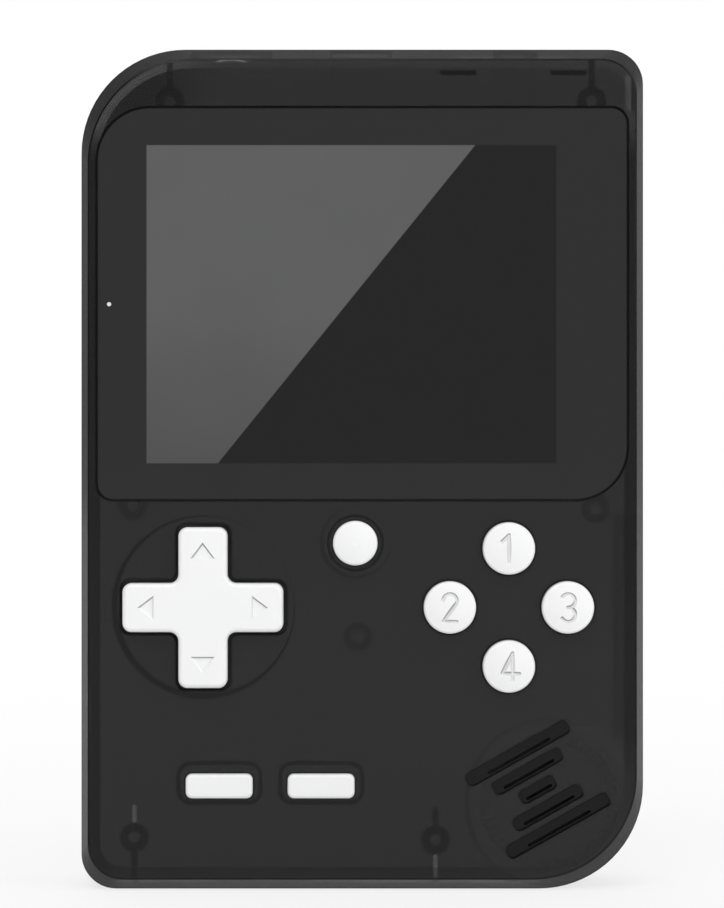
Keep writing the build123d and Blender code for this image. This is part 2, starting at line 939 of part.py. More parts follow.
def direction_pad():
    """Cross on a round flange, hollowed below for the ball that it rocks on."""
    top = front_face - dpad_proud
    pad = layer(cross_outline(), top, dpad_flange_front)
    pad = fillet(edges_at(pad, top), dpad_top_round)
    pad += disc(0, 0, dpad_flange, dpad_flange_front, dpad_flange_back)
    pad += disc(0, 0, dpad_hub, dpad_flange_back, pivot_y)
    pad -= Location((0, pivot_y, 0)) * Sphere(pivot_radius + slide_gap)
    arrows = []
    for turn in range(4):
        arrow = at(0, dpad_reach - arrow_end - arrow_height) * triangle(arrow_width, arrow_height)
        spin = Location((0, 0, 0), (0, 0, turn * 360 / 4))
        arrows.append(flared(spin * arrow, top, top + engrave_depth, engrave_flare))
    return Location((dpad_x, 0, dpad_z)) * (pad - arrows)


def dpad_pivot():
    """Ball between the board and the direction pad."""
    return Location((dpad_x, pivot_y, dpad_z)) * Sphere(pivot_radius)


def numeral_lines(number):
    """Pen strokes of the numerals one to four about their centre."""
    top = numeral_height / 2
    bowl = numeral_height / 4
    if number == 1:
        return [Line((-bowl, bowl), (0, top)), Line((0, top), (0, -top))]
    if number == 2:
        turn = CenterArc((0, bowl), bowl, 180, -numeral_two_turn)
        return [turn, Line(turn @ 1, (-bowl, -top)), Line((-bowl, -top), (bowl, -top))]
    if number == 3:
        upper = CenterArc((0, bowl), bowl, numeral_three_turn - 90, -numeral_three_turn)
        return [upper, CenterArc((0, -bowl), bowl, 90, -numeral_three_turn)]
    return [
        Line((bowl / 2, -top), (bowl / 2, top)),
        Line((bowl / 2, top), (-bowl, -bowl)),
        Line((-bowl, -bowl), (bowl + bowl / 2, -bowl)),
    ]


def numeral_outline(number):
    """Outline of a numeral drawn with a round pen."""
    figure = Sketch()
    for line in numeral_lines(number):
        figure += trace(line, numeral_stroke)
        for end in (line @ 0, line @ 1):
            figure += at(end.X, end.Y) * Circle(numeral_stroke / 2)
    return figure


def round_cap(radius, top):
    """Button with a domed cap over a flange, turned about the line through the origin."""
    shoulder = top + dome_rise
    flange = radius + flange_lip
    crown = TangentArc((0, top), (radius, shoulder), tangent=(1, 0))
    side = Polyline(
        (radius, shoulder), (radius, flange_front), (flange, flange_front),
        (flange, flange_back), (0, flange_back), (0, top),
    )
    cap = revolve(make_face(crown + side), Axis.Y)
    return fillet(edges_at(cap, shoulder), cap_round)


def action_button(x, z, number):
    """Action button with a plain numeral sunk into its domed cap."""
    top = front_face - action_proud
    groove = flared(numeral_outline(number), top, top + numeral_depth, numeral_flare)
    return Location((x, 0, z)) * (round_cap(action_radius, top) - groove)


def reset_button():
    """Plain round button between the direction pad and the action buttons."""
    return Location((reset_x, 0, reset_z)) * round_cap(reset_radius, front_face - reset_proud)


def menu_button(x):
    """Long menu button over its flange."""
    top = front_face - menu_proud
    cap = layer(at(x, menu_up) * menu_outline(), top, flange_front)
    cap = fillet(edges_at(cap, top), menu_top_round)
    return cap + layer(at(x, menu_up) * menu_outline(menu_flange_lip), flange_front, flange_back)


def main_chip():
    """Processor behind the board."""
    half = main_chip_side / 2
    return brick(main_chip_x - half, main_chip_x + half, board_rear, board_rear + main_chip_thick,
                 main_chip_up - half, main_chip_up + half)


def flash_chip():
    """Memory chip beside the processor."""
    x = main_chip_x - flash_step
    return brick(x - flash_wide / 2, x + flash_wide / 2, board_rear, board_rear + flash_thick,
                 main_chip_up - flash_tall / 2, main_chip_up + flash_tall / 2)


def clock_crystal():
    """Metal can that sets the processor's clock."""
    x = main_chip_x + crystal_step
    return brick(x - crystal_wide / 2, x + crystal_wide / 2, board_rear, board_rear + crystal_thick,
                 main_chip_up - crystal_tall / 2, main_chip_up + crystal_tall / 2)


def chip_capacitors():
    """Row of small capacitors below the processor."""
    z = main_chip_up - main_chip_side / 2 - capacitor_pitch / 2
    first = main_chip_x - (capacitor_count - 1) * capacitor_pitch / 2
    row = []
    for index in range(capacitor_count):
        x = first + index * capacitor_pitch
        row.append(
            brick(x - capacitor_long / 2, x + capacitor_long / 2, board_rear,
                  board_rear + capacitor_thick, z - capacitor_wide / 2, z + capacitor_wide / 2)
        )
    return Compound(children=row)


def power_led():
    """Light on the board behind the pinhole in the lens."""
    half = led_side / 2
    return brick(led_x - half, led_x + half, board_front - led_thick, board_front,
                 led_z - half, led_z + half)


def light_pipe():
    """Clear rod from the power light to the pinhole in the lens."""
    tip = disc(led_x, led_z, pipe_tip, lens_front, plate_back)
    return tip + disc(led_x, led_z, pipe_body, plate_back, board_front - led_thick)


def screw_drive(radius, near, far):
    """Cross slot of a screw head."""
    bars = Rectangle(radius, drive_width) + Rectangle(drive_width, radius)
    return layer(bars, near, far)


def screw(x, z, seat, head, thick, shank, length):
    """Screw along Y with its head behind the seat and its shank before it."""
    body = disc(0, 0, head, seat, seat + thick)
    body = fillet(edges_at(body, seat + thick), thick * head_round_share)
    body -= screw_drive(head, seat + thick - drive_depth, seat + thick + overrun)
    return Location((x, 0, z)) * (body + disc(0, 0, shank, seat - length, seat))


def shell_screws():
    """Four long screws that pull the two shells together."""
    shank = boss_hole - screw_gap
    return Compound(children=[
        screw(x, z, rear_post_floor, head_radius, head_thick, shank, screw_length)
        for x, z in shell_screw_places
    ])


def board_screws():
    """Three short screws that hold the board on its posts."""
    shank = boss_hole - screw_gap
    return Compound(children=[
        screw(x, z, board_rear, board_head_radius, board_head_thick, shank, board_screw_length)
        for x, z in board_screw_places
    ])


def speaker_gasket():
    """Foam ring between the plate and the loudspeaker."""
    return tube(speaker_x, speaker_z, speaker_radius, speaker_radius - speaker_gasket_width,
                plate_back, speaker_front)


def speaker_frame():
    """Pressed basket of the loudspeaker: a flange, a cup and its floor."""
    inner = speaker_cup_radius - speaker_cup_wall
    flange = tube(speaker_x, speaker_z, speaker_radius, inner, speaker_front, speaker_flange_back)
    cup = tube(speaker_x, speaker_z, speaker_cup_radius, inner, speaker_front, speaker_cup_back)
    floor = tube(speaker_x, speaker_z, speaker_cup_radius, coil_radius + slide_gap,
                 speaker_cup_back - speaker_cup_wall, speaker_cup_back)
    return flange + cup + floor


def speaker_cone():
    """Thin cone with a raised centre cap."""
    rim = speaker_cup_radius - speaker_cup_wall - seat_gap
    front = speaker_front + cone_thick
    throat = front + cone_depth
    crown = throat - cone_depth / 2
    profile = Polyline(
        (0, crown), (cone_cap_radius, throat), (rim, front), (rim, front + cone_thick),
        (cone_cap_radius, throat + cone_thick), (0, crown + cone_thick), close=True,
    )
    return turned(make_face(profile), speaker_x, speaker_z)


def speaker_magnet():
    """Magnet on the back of the basket."""
    return disc(speaker_x, speaker_z, magnet_radius, speaker_cup_back, speaker_cup_back + magnet_thick)


def speaker_leads():
    """Two insulated wires from the basket's rim to the back of the board."""
    start_x_lead = speaker_x - (speaker_radius + speaker_cup_radius) / 2
    level = board_rear + lead_radius + slide_gap
    leads = []
    for side in (-lead_pitch / 2, lead_pitch / 2):
        z = speaker_z + side
        points = (
            (start_x_lead, speaker_flange_back, z), (start_x_lead, level, z),
            (start_x_lead - lead_run, level, z),
        )
        bend = (level - speaker_flange_back) * lead_bend_share
        path = FilletPolyline(*points, radius=bend)
        section = Plane(origin=points[0], z_dir=(0, 1, 0)) * Circle(lead_radius)
        leads.append(sweep(section, path=path))
    return Compound(children=leads)


def switch_body():
    """Metal-cased slide switch behind the board, open above for its lever."""
    half, top = switch_width / 2, inner_top - switch_drop
    body = brick(switch_x - half, switch_x + half, board_rear, board_rear + switch_deep, top - switch_tall, top)
    room = lever_width / 2 + switch_travel + side_gap
    deep = lever_deep / 2 + slide_gap
    return body - brick(switch_x - room, switch_x + room, switch_y - deep, switch_y + deep,
                        top - switch_tall / 2, top + overrun)


def switch_lever():
    """Lever of the slide switch, held in the knob's fork."""
    top = inner_top - switch_drop
    deep, half = lever_deep / 2, lever_width / 2
    return brick(switch_x - half, switch_x + half, switch_y - deep, switch_y + deep,
                 top - switch_tall / 2 + slide_gap, inner_top - slide_gap - knob_flange_tall)


def power_knob():
    """Sliding knob in the top wall: a ridged cap, a flange under the wall and a fork."""
    half, deep = knob_width / 2, knob_deep / 2
    top = body_height - knob_sunk
    under = inner_top - slide_gap
    cap = brick(switch_x - half, switch_x + half, switch_y - deep, switch_y + deep,
                under - knob_flange_tall, top)
    cap = fillet(cap.edges().group_by(Axis.Z)[-1], knob_ridge_width)
    wide = half + knob_flange_wide
    cap += brick(switch_x - wide, switch_x + wide, switch_y - deep, switch_y + deep,
                 under - knob_flange_tall, under)
    lever = lever_width / 2
    for side in (-1, 1):
        low, high = sorted((switch_x + side * (lever + seat_gap), switch_x + side * lever_width))
        cap += brick(low, high, switch_y - deep, switch_y + deep,
                     inner_top - switch_drop + slide_gap, under - knob_flange_tall)
    first = switch_x - (knob_ridges - 1) * knob_ridge_pitch / 2
    grooves = []
    for index in range(knob_ridges):
        x = first + index * knob_ridge_pitch
        grooves.append(
            brick(x - knob_ridge_width / 2, x + knob_ridge_width / 2, switch_y - knob_deep,
                  switch_y + knob_deep, top - knob_ridge_width / 2, top + overrun)
        )
    return cap - grooves


def usb_socket():
    """Metal shell of the charging socket, closed at its inner end."""
    low = usb_mouth - usb_long
    shell = round_slot(usb_x, usb_y, usb_wide, usb_deep, usb_corner, low, usb_mouth)
    inner_wide, inner_deep = usb_wide - usb_wall - usb_wall, usb_deep - usb_wall - usb_wall
    return shell - round_slot(usb_x, usb_y, inner_wide, inner_deep, usb_corner - usb_wall,
                              low + usb_wall, usb_mouth + overrun)


def usb_tongue():
    """Contact tongue in the middle of the charging socket."""
    low = usb_mouth - usb_long + usb_wall
    half, deep = usb_tongue_wide / 2, usb_tongue_deep / 2
    return brick(usb_x - half, usb_x + half, usb_y - deep, usb_y + deep, low, low + usb_tongue_long)


def jack_body():
    """Plastic body of the sound and picture socket."""
    half, top = jack_wide / 2, inner_top - slide_gap
    body = brick(jack_x - half, jack_x + half, board_rear, board_rear + jack_deep, top - jack_long, top)
    bore = extrude(Circle(jack_bore), jack_bore_long + overrun)
    return body - Location((jack_x, jack_y, top - jack_bore_long)) * bore


def jack_bush():
    """Metal bush that carries the socket's mouth through the top wall."""
    low = inner_top - slide_gap
    high = body_height - recess_sink - jack_snout_sunk
    return Location((jack_x, jack_y, low)) * extrude(Circle(jack_snout) - Circle(jack_bore), high - low)


def volume_pot():
    """Square base of the volume control, fixed behind the board."""
    half = pot_side / 2
    base = brick(wheel_x - half, wheel_x + half, board_rear, board_rear + pot_thick,
                 wheel_up - half, wheel_up + half)
    return base - disc(wheel_x, wheel_up, pot_shaft + pot_shaft_gap, board_rear - overrun,
                       board_rear + pot_thick + overrun)


def volume_wheel():
    """Notched thumbwheel that shows through the left wall."""
    wheel = disc(0, 0, wheel_radius, wheel_front, wheel_back)
    cuts = [
        disc(0, 0, wheel_hub, wheel_back - wheel_hub_sink, wheel_back + overrun),
        disc(0, 0, pot_shaft, wheel_front - overrun, wheel_back + overrun),
    ]
    for index in range(wheel_notches):
        angle = math.radians(index * 360 / wheel_notches)
        x, z = wheel_radius * math.cos(angle), wheel_radius * math.sin(angle)
        cuts.append(disc(x, z, wheel_notch_radius, wheel_front - overrun, wheel_back + overrun))
    return Location((wheel_x, 0, wheel_up)) * (wheel - cuts)


def wheel_shaft():
    """Shaft of the volume control, which turns with its wheel."""
    shaft = disc(wheel_x, wheel_up, pot_shaft, board_rear + slide_gap, wheel_back - wheel_hub_sink)
    return shaft - disc(wheel_x, wheel_up, wheel_screw_shank + screw_gap, wheel_front, wheel_back)


def wheel_screw():
    """Small screw that holds the wheel on its shaft."""
    return screw(wheel_x, wheel_up, wheel_back - wheel_hub_sink, wheel_screw_head, wheel_hub_sink,
                 wheel_screw_shank, wheel_screw_long)


def battery():
    """Flat battery in its bay."""
    outline = outline_round(battery_left, battery_right, battery_up, battery_top,
                            (battery_corner,) * 4)
    return layer(outline, battery_front, battery_front + battery_thick)


def contact_block():
    """Plastic block that carries the battery contacts through the wall of the bay."""
    return layer(block_outline(), board_rear, board_rear + block_deep)


def battery_contacts():
    """Springy contacts that meet the upper edge of the battery."""
    first = contact_x - (contact_count - 1) * contact_pitch / 2
    top = battery_top + bay_gap
    row = []
    for index in range(contact_count):
        x = first + index * contact_pitch
        half = contact_wide / 2
        row.append(
            brick(x - half, x + half, battery_front + contact_thick, board_rear + block_deep - contact_thick,
                  top - contact_proud, top)
        )
    return Compound(children=row)


def all_nodes():
    """Every piece of the console by its name."""
    nodes = {
        "front_shell": front_shell(),
        "rear_shell": rear_shell(),
        "battery_door": battery_door(),
        "screen_lens": screen_lens(),
        "lens_tape": lens_tape(),
        "lcd_gasket": lcd_gasket(),
        "lcd_panel": lcd_panel(),
        "lcd_backlight": lcd_backlight(),
        "lcd_frame": lcd_frame(),
        "lcd_ribbon": lcd_ribbon(),
        "lcd_connector": lcd_connector(),
        "main_board": main_board(),
        "main_chip": main_chip(),
        "flash_chip": flash_chip(),
        "clock_crystal": clock_crystal(),
        "chip_capacitors": chip_capacitors(),
        "power_led": power_led(),
        "light_pipe": light_pipe(),
        "direction_pad": direction_pad(),
        "dpad_pivot": dpad_pivot(),
        "dpad_membrane": dpad_membrane(),
        "action_membrane": action_membrane(),
        "reset_button": reset_button(),
        "reset_membrane": reset_membrane(),
        "select_button": menu_button(select_x),
        "start_button": menu_button(start_x),
        "menu_membrane": menu_membrane(),
        "switch_body": switch_body(),
        "switch_lever": switch_lever(),
        "power_knob": power_knob(),
        "usb_socket": usb_socket(),
        "usb_tongue": usb_tongue(),
        "jack_body": jack_body(),
        "jack_bush": jack_bush(),
        "volume_pot": volume_pot(),
        "volume_wheel": volume_wheel(),
        "wheel_shaft": wheel_shaft(),
        "wheel_screw": wheel_screw(),
        "speaker_gasket": speaker_gasket(),
        "speaker_frame": speaker_frame(),
        "speaker_cone": speaker_cone(),
        "speaker_magnet": speaker_magnet(),
        "speaker_leads": speaker_leads(),
        "battery": battery(),
        "contact_block": contact_block(),
        "battery_contacts": battery_contacts(),
        "shell_screws": shell_screws(),
        "board_screws": board_screws(),
    }
    for name, (x, z, number) in action_places.items():
        nodes[name] = action_button(x, z, number)
    return nodes


def main():
    os.makedirs("parts", exist_ok=True)
    for name, node in all_nodes().items():
        export_step(node, f"parts/{name}.step")
    print(f"{body_width:.1f} x {front_depth + rear_depth:.1f} x {body_height:.1f} mm")


if __name__ == "__main__":
    main()
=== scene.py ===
import math

import bmesh
import bpy
from bpy.props import FloatProperty, FloatVectorProperty, IntProperty, PointerProperty
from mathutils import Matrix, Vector


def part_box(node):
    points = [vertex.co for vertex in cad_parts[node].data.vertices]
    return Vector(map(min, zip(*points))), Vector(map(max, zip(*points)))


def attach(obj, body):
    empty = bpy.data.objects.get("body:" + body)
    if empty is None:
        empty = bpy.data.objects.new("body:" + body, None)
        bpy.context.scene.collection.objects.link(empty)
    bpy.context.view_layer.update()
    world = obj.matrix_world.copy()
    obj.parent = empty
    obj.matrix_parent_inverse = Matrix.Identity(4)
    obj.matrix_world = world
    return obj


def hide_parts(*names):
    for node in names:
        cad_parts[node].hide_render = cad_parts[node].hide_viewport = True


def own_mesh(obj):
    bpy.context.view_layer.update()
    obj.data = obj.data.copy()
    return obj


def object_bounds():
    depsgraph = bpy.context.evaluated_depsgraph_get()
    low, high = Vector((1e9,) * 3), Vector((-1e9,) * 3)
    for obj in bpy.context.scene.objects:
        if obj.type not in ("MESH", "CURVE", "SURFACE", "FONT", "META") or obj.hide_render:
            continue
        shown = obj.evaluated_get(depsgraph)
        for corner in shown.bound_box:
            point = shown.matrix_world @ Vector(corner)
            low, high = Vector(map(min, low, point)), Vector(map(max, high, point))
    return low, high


bl_info = {
    "name": "Handheld Console",
    "version": (1, 0, 0),
    "blender": (4, 5, 0),
    "location": "3D View > Sidebar > Console",
    "description": "Finishes the packed frame of a handheld game console and sets it in a studio",
    "category": "Object",
}

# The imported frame, and the box that it fills before anything is added
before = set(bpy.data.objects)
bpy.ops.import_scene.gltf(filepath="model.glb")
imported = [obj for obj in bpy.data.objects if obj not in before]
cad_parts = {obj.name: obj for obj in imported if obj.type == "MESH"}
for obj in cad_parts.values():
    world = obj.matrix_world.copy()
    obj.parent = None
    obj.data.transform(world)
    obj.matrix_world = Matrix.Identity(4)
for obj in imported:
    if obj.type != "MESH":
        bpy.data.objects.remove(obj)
CAD_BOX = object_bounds()
MM = 0.001

# The photograph's frame, in pixels
FRAME_WIDTH = 724
FRAME_HEIGHT = 908
PHOTO_LEFT = 81.5
PHOTO_RIGHT = 643.0
PHOTO_BASE = 888.5

# Width of the camera's sensor, in millimetres
SENSOR = 36.0

# Half the width of a painted edge, plain and fine, and how far a cutter runs past what it cuts
SOFT = 0.05 * MM
FINE = 0.04 * MM
OVERRUN = MM

# Points closer than this are one, and edges steeper than this stay sharp
SAME_SPOT = MM / 1000
SHARP = math.radians(32)

# Places of the two colours and of the result among the sockets of a Mix node
MIX_FIRST, MIX_SECOND, MIX_RESULT = 6, 7, 2

# Turns that point the Z axis to the back and to the front
TO_BACK = (math.radians(-90), 0, 0)
TO_FRONT = (math.radians(90), 0, 0)

WHITE = (1, 1, 1, 1)
ROUND_BUTTONS = ("button_top", "button_left", "button_right", "button_bottom")


# Settings

def mm(name, description, value):
    """Length, given in millimetres."""
    return FloatProperty(name=name, description=description, unit="LENGTH", default=value * MM)


def fraction(name, description, value):
    """Share between nothing and all."""
    return FloatProperty(name=name, description=description, default=value, min=0, max=1)


def number(name, description, value):
    """Plain number."""
    return FloatProperty(name=name, description=description, default=value)


def count(name, description, value):
    """Whole number."""
    return IntProperty(name=name, description=description, default=value)


def paint(name, description, *value):
    """Opaque colour."""
    return FloatVectorProperty(name=name, description=description, subtype="COLOR", size=4,
                               default=(*value, 1.0))


class ShellSettings(bpy.types.PropertyGroup):
    """Smoke tinted shells and battery door"""
    tint: paint("Smoke tint", "What one wall lets through", 0.1, 0.1, 0.102)
    clear: fraction("Clear share", "Share of the light that goes through", 0.85)
    roughness: number("Roughness", "Roughness of the polished plastic", 0.16)
    smudge: mm("Smudge size", "Width of a faint smudge", 14)
    large_corner: mm("Large corner", "Radius of the upper left and lower right corners", 15)
    small_corner: mm("Small corner", "Radius of the other two corners", 5)
    bevel_side: mm("Side bevel", "Width of the bevel along the sides", 1.15)
    bevel_end: mm("End bevel", "Width of the bevel along the ends", 1.65)
    plate: mm("Plate", "Thickness of the front plate", 2.2)
    # Painted light and shade of the side walls as seen through the plate
    wall_near: mm("Wall starts", "From the bevel to the light wall that shows through", 0.2)
    wall_far: mm("Wall ends", "From the bevel to the inner side of that light wall", 1.3)
    wall_thick: mm("Dark wall", "From the bevel to the inner side of the dark walls", 1.75)
    wall_light_from: mm("Light wall", "Height above which the wall catches light", 110)
    wall_light_run: mm("Light wall run", "Height over which the wall turns light", 5)
    wall_dark: fraction("Dark wall share", "Share of the tint that the dark walls take away", 0.7)
    corner_dark: fraction("Corner", "Share of the tint that the upper left corner loses", 0.55)
    # Painted shadow in a strip inside the right side
    shadow_in: mm("Pocket", "From the right side to the dark pocket", 4.55)
    shadow_from: mm("Pocket starts", "Height of the lower end of that pocket", 22)
    shadow_to: mm("Pocket ends", "Height of the upper end of that pocket", 54)
    shadow_dark: fraction("Pocket share", "Share of the tint that the pocket takes away", 0.35)
    # Painted shade and light where bosses, ribs, rings, hooks, gaps and the corner catch would show through
    # the plate
    strong: fraction("Strong marks", "Share of the tint that bosses and ribs take away", 0.72)
    faint: fraction("Faint marks", "Share of the tint that posts and thin rings take away", 0.4)
    black: fraction("Black marks", "Share of the tint that hooks and gaps take away", 0.93)
    lit_rib: number("Lit ribs", "Share of the tint that the lit ribs add", 2.5)
    lit_catch: number("Lit catch", "Share of the tint that the corner catch adds", 0.9)
    catch_dark: fraction("Catch slot", "Share of the tint lost in the slot beside that catch", 0.6)
    # Painted shade on every surface sunk below the face, the lens seat among them
    sunk_shade: fraction("Lens seat", "Share of the tint that the sunk lens seat takes away", 0.95)
    boss: mm("Boss radius", "Radius of a screw boss", 2.1)
    boss_hole: mm("Boss hole", "Radius of the hole in a boss", 0.8)
    rib: mm("Rib", "Thickness of a boss's rib", 0.9)
    rib_reach: mm("Rib reach", "How far a lower rib goes above its boss", 4.6)
    pad_ring: mm("Pad ring", "Inner radius of the ring round the direction pad", 12.7)
    reset_ring: mm("Reset ring", "Outer radius of the ring round the reset button", 5.15)
    speaker_ring: mm("Speaker ring", "Outer radius of the ring round the loudspeaker", 12.2)
    ring: mm("Ring", "Thickness of a ring", 0.6)
    button: mm("Button", "Radius of a round button", 3.75)
    pad_half: mm("Pad", "Half the span of the direction pad", 11.5)
    pad_arm: mm("Pad arm", "Width of an arm of the direction pad", 7)
    pad_corner: mm("Pad corner", "Radius of the corners of the direction pad", 1)
    control_gap: mm("Control gap", "Dark gap round a control", 0.32)
    menu_gap: mm("Menu frame gap", "From a menu button to the frame round it", 0.3)
    menu_rise: mm("Menu frame rise", "How much higher than its button that frame shows", 0.4)
    # Painted shade and light on the bevel
    left_dim: fraction("Left bevel", "Share of the tint taken from the bevel at the left", 0.42)
    top_dim: fraction("Top bevel", "Share of the tint taken from the bevel at the top", 0.22)
    rim: mm("Rim", "Width of the dark rim along the outline", 0.26)
    knob_arc: mm("Knob arc", "Radius of the power knob's light edge", 5.25)
    knob_flat: number("Knob flatness", "How much larger the radius under that edge is", 2.2)
    knob_edge: mm("Knob edge", "Thickness of that edge in its middle", 0.28)
    knob_below: mm("Knob below", "From the top of the console to the top of that edge", 1.6)
    knob_shine: number("Knob shine", "How much lighter than the plastic that edge is", 9)
    slot_from: mm("Slot starts", "From the knob's middle to the near end of its slot", 3)
    slot_to: mm("Slot ends", "From the knob's middle to the far end of its slot", 5.2)
    socket_below: mm("Sockets", "From the top of the console to where the sockets show", 0.3)
    wheel: mm("Volume wheel", "Radius of the volume wheel, which shows in the bevel", 5.5)
    catch_in: mm("Corner catch", "From the right side to the catch in the upper corner", 2.8)
    catch_wide: mm("Catch width", "Width of that catch", 0.9)
    catch_tall: mm("Catch height", "Height of that catch", 5)
    hook_wide: mm("Hook", "Width of a snap hook", 5.2)
    hook_tall: mm("Hook height", "Height of a snap hook as seen", 0.68)
    hook_below: mm("Hook below", "From the top of the console to a snap hook", 3.6)
    hook_in_outer: mm("Outer hook", "From the right side to the outer hook", 10.9)
    hook_in_inner: mm("Inner hook", "From the right side to the inner hook", 26.7)


class ScreenSettings(bpy.types.PropertyGroup):
    """Screen lens and the display behind it"""
    border: paint("Border", "Colour of the lens round the display", 0.018, 0.018, 0.018)
    # Painted reflection on the display: a lit half over a dim half, split along a diagonal
    bright: paint("Bright half", "Upper left half of the display", 0.1, 0.1, 0.101)
    dim: paint("Dim half", "Lower right half of the display", 0.0075, 0.0075, 0.0075)
    top_share: fraction("Top end", "Where the diagonal meets the upper edge, along the width", 0.802)
    bottom_share: fraction("Bottom end", "Where the diagonal meets the lower edge", 0.174)
    edge: mm("Edge", "Softness of the display's outline", 0.06)
    inset: mm("Inset", "From the outline of the display's gasket to the window", 2.85)


class ControlSettings(bpy.types.PropertyGroup):
    """White buttons, direction pad and power knob"""
    white: paint("White", "Colour of the moulded controls", 0.93, 0.93, 0.935)
    roughness: number("Roughness", "Roughness of the satin plastic", 0.34)
    shaded: fraction("Shaded slopes", "Share of the white left on slopes that face down", 0.42)
    # Painted shade on the parts of the controls behind the face of the shell
    hidden_shade: fraction("Hidden parts", "Share of the white left behind the face of the shell", 0.1)
    slope_low: number("Flattest slope", "Normal along Y of the flattest engraved slope", -0.88)
    slope_high: number("Steepest slope", "Normal along Y of the steepest engraved slope", -0.35)
    numeral_reach: mm("Numeral reach", "Radius of the circle that holds a numeral", 2.7)
    arrow_reach: mm("Arrow reach", "From the middle of the pad to the far end of an arrow", 10)
    arrow_half: mm("Arrow half", "Half the width of the stretch that holds an arrow", 2.3)


class ScrewSettings(bpy.types.PropertyGroup):
    """Threaded screws of the shells and of the board"""
    head_radius: mm("Shell head radius", "Radius of a shell screw's head", 1.8)
    head_thick: mm("Shell head", "Thickness of a shell screw's head", 1.3)
    board_head_radius: mm("Board head radius", "Radius of a board screw's head", 1.6)
    board_head_thick: mm("Board head", "Thickness of a board screw's head", 0.8)
    thread_radius: mm("Thread radius", "Radius over the thread", 0.76)
    pitch: mm("Thread pitch", "Distance between two turns of the thread", 0.62)
    slot: mm("Cross slot", "Width of the cross slot", 0.42)


class WheelSettings(bpy.types.PropertyGroup):
    """Knurled volume wheel"""
    teeth: count("Teeth", "Teeth round the rim", 52)
    tooth: mm("Tooth depth", "Depth of the knurl", 0.22)
    hub: mm("Hub radius", "Radius of the sunk hub", 2.2)
    sink: mm("Hub sink", "How deep the hub is sunk", 0.5)


class RubberSettings(bpy.types.PropertyGroup):
    """Rubber sheets and the domes under the buttons"""
    base: mm("Dome base", "Radius of a dome at its sheet", 3)
    top: mm("Dome top", "Radius of a dome under its button", 2)
    wall: mm("Dome wall", "Thickness of a dome's side", 0.5)
    crown: mm("Dome crown", "Thickness of a dome's top", 0.8)
    sheet: mm("Sheet", "Thickness of a sheet", 0.8)
    gap: mm("Dome gap", "Gap between a dome and the hole in its sheet", 0.02)
    keep: fraction("Pressed", "Share of a dome's height left when its button is pressed", 0.66)


class BoardSettings(bpy.types.PropertyGroup):
    """Small metal parts on the main board"""
    legs: count("Chip legs", "Legs on each side of the processor", 20)
    leg_pitch: mm("Leg pitch", "Distance between two legs", 0.52)
    leg_reach: mm("Leg reach", "How far a leg stands out", 1)
    leg_height: mm("Leg height", "How high a leg leaves the chip", 0.6)
    memory_legs: count("Memory legs", "Legs on each of two sides of the memory chip", 4)
    memory_pitch: mm("Memory leg pitch", "Distance between two legs of the memory chip", 1.27)
    pins: count("Connector pins", "Pins of the display connector", 38)
    pin_pitch: mm("Pin pitch", "Distance between two pins", 0.6)
    contacts: count("Contacts", "Contacts on each side of the tongue", 12)
    contact_pitch: mm("Contact pitch", "Distance between two contacts", 0.5)
    metal: mm("Metal", "Thickness of the legs and pins", 0.12)
    dot_gap: mm("Dot gap", "Least distance between two solder dots", 1.7)
    dot_radius: mm("Dot radius", "Radius of a solder dot", 0.32)
    seed: count("Seed", "Seed of the solder dots", 7)


class StageSettings(bpy.types.PropertyGroup):
    """Studio floor, lamps and camera"""
    floor_colour: paint("Floor", "Colour of the floor", 0.93, 0.93, 0.93)
    floor_white: fraction("Floor white", "Share of plain white that the camera sees in it", 0.75)
    floor_near: mm("Near floor", "From the console to where the floor starts to pale", 60)
    floor_far: mm("Far floor", "From the console to where the floor is plain white", 400)
    air: number("Air", "Strength of the light from all around", 0.7)
    air_left: fraction("Air at the left", "Share of that light that comes from the left", 0.62)
    key: number("Key lamp", "Power of the key lamp", 2.3)
    fill: number("Fill lamp", "Power of the fill lamp", 1.3)
    distance: mm("Camera distance", "From the camera to the widest part of the console", 450)
    bevel: mm("Bevel depth", "From the face back to the widest part of the console", 2.4)


# Nodes

class Value:
    """Output of a node, on which each step of arithmetic adds a node."""

    def __init__(self, socket):
        self.socket = socket
        self.tree = socket.id_data

    def step(self, operation, *others):
        """Result of one step of arithmetic that starts with this value."""
        return result(self.tree, "ShaderNodeMath", self, *others, operation=operation)

    def line(self, slope, start):
        """This value times a slope, plus a start."""
        return self.step("MULTIPLY_ADD", slope, start)

    def __add__(self, other):
        return self.step("ADD", other)

    def __sub__(self, other):
        return self.step("SUBTRACT", other)

    def __rsub__(self, other):
        return self.line(-1.0, other)

    def __mul__(self, other):
        return self.step("MULTIPLY", other)

    def __truediv__(self, other):
        return self.step("DIVIDE", other)

    def __abs__(self):
        return self.step("ABSOLUTE")


def feed(socket, value):
    """Links a value to a socket, or sets a plain value on it."""
    if isinstance(value, Value):
        value.tree.links.new(value.socket, socket)
    elif value is not None:
        socket.default_value = value


def add(tree, kind, *values, **named):
    """Adds a node; names with a capital are inputs, the others are settings."""
    node = tree.nodes.new(kind)
    for name, value in named.items():
        if name[0].islower():
            setattr(node, name, value)
    for socket, value in zip(node.inputs, values):
        feed(socket, value)
    for name, value in named.items():
        if name[0].isupper():
            feed(node.inputs[name.replace("_", " ")], value)
    return node


def result(tree, kind, *values, output=0, **named):
    """Output of a new node."""
    return Value(add(tree, kind, *values, **named).outputs[output])


def most(value, *others):
    """Largest of several values."""
    for other in others:
        value = value.step("MAXIMUM", other)
    return value


def least(value, other):
    """Smaller of two values."""
    return value.step("MINIMUM", other)


def mix(factor, first, second):
    """Colour between two colours."""
    node = add(factor.tree, "ShaderNodeMix", factor, data_type="RGBA")
    feed(node.inputs[MIX_FIRST], first)
    feed(node.inputs[MIX_SECOND], second)
    return Value(node.outputs[MIX_RESULT])


def scaled(colour, share):
    """Colour times a value."""
    return result(share.tree, "ShaderNodeVectorMath", colour, operation="SCALE", Scale=share)


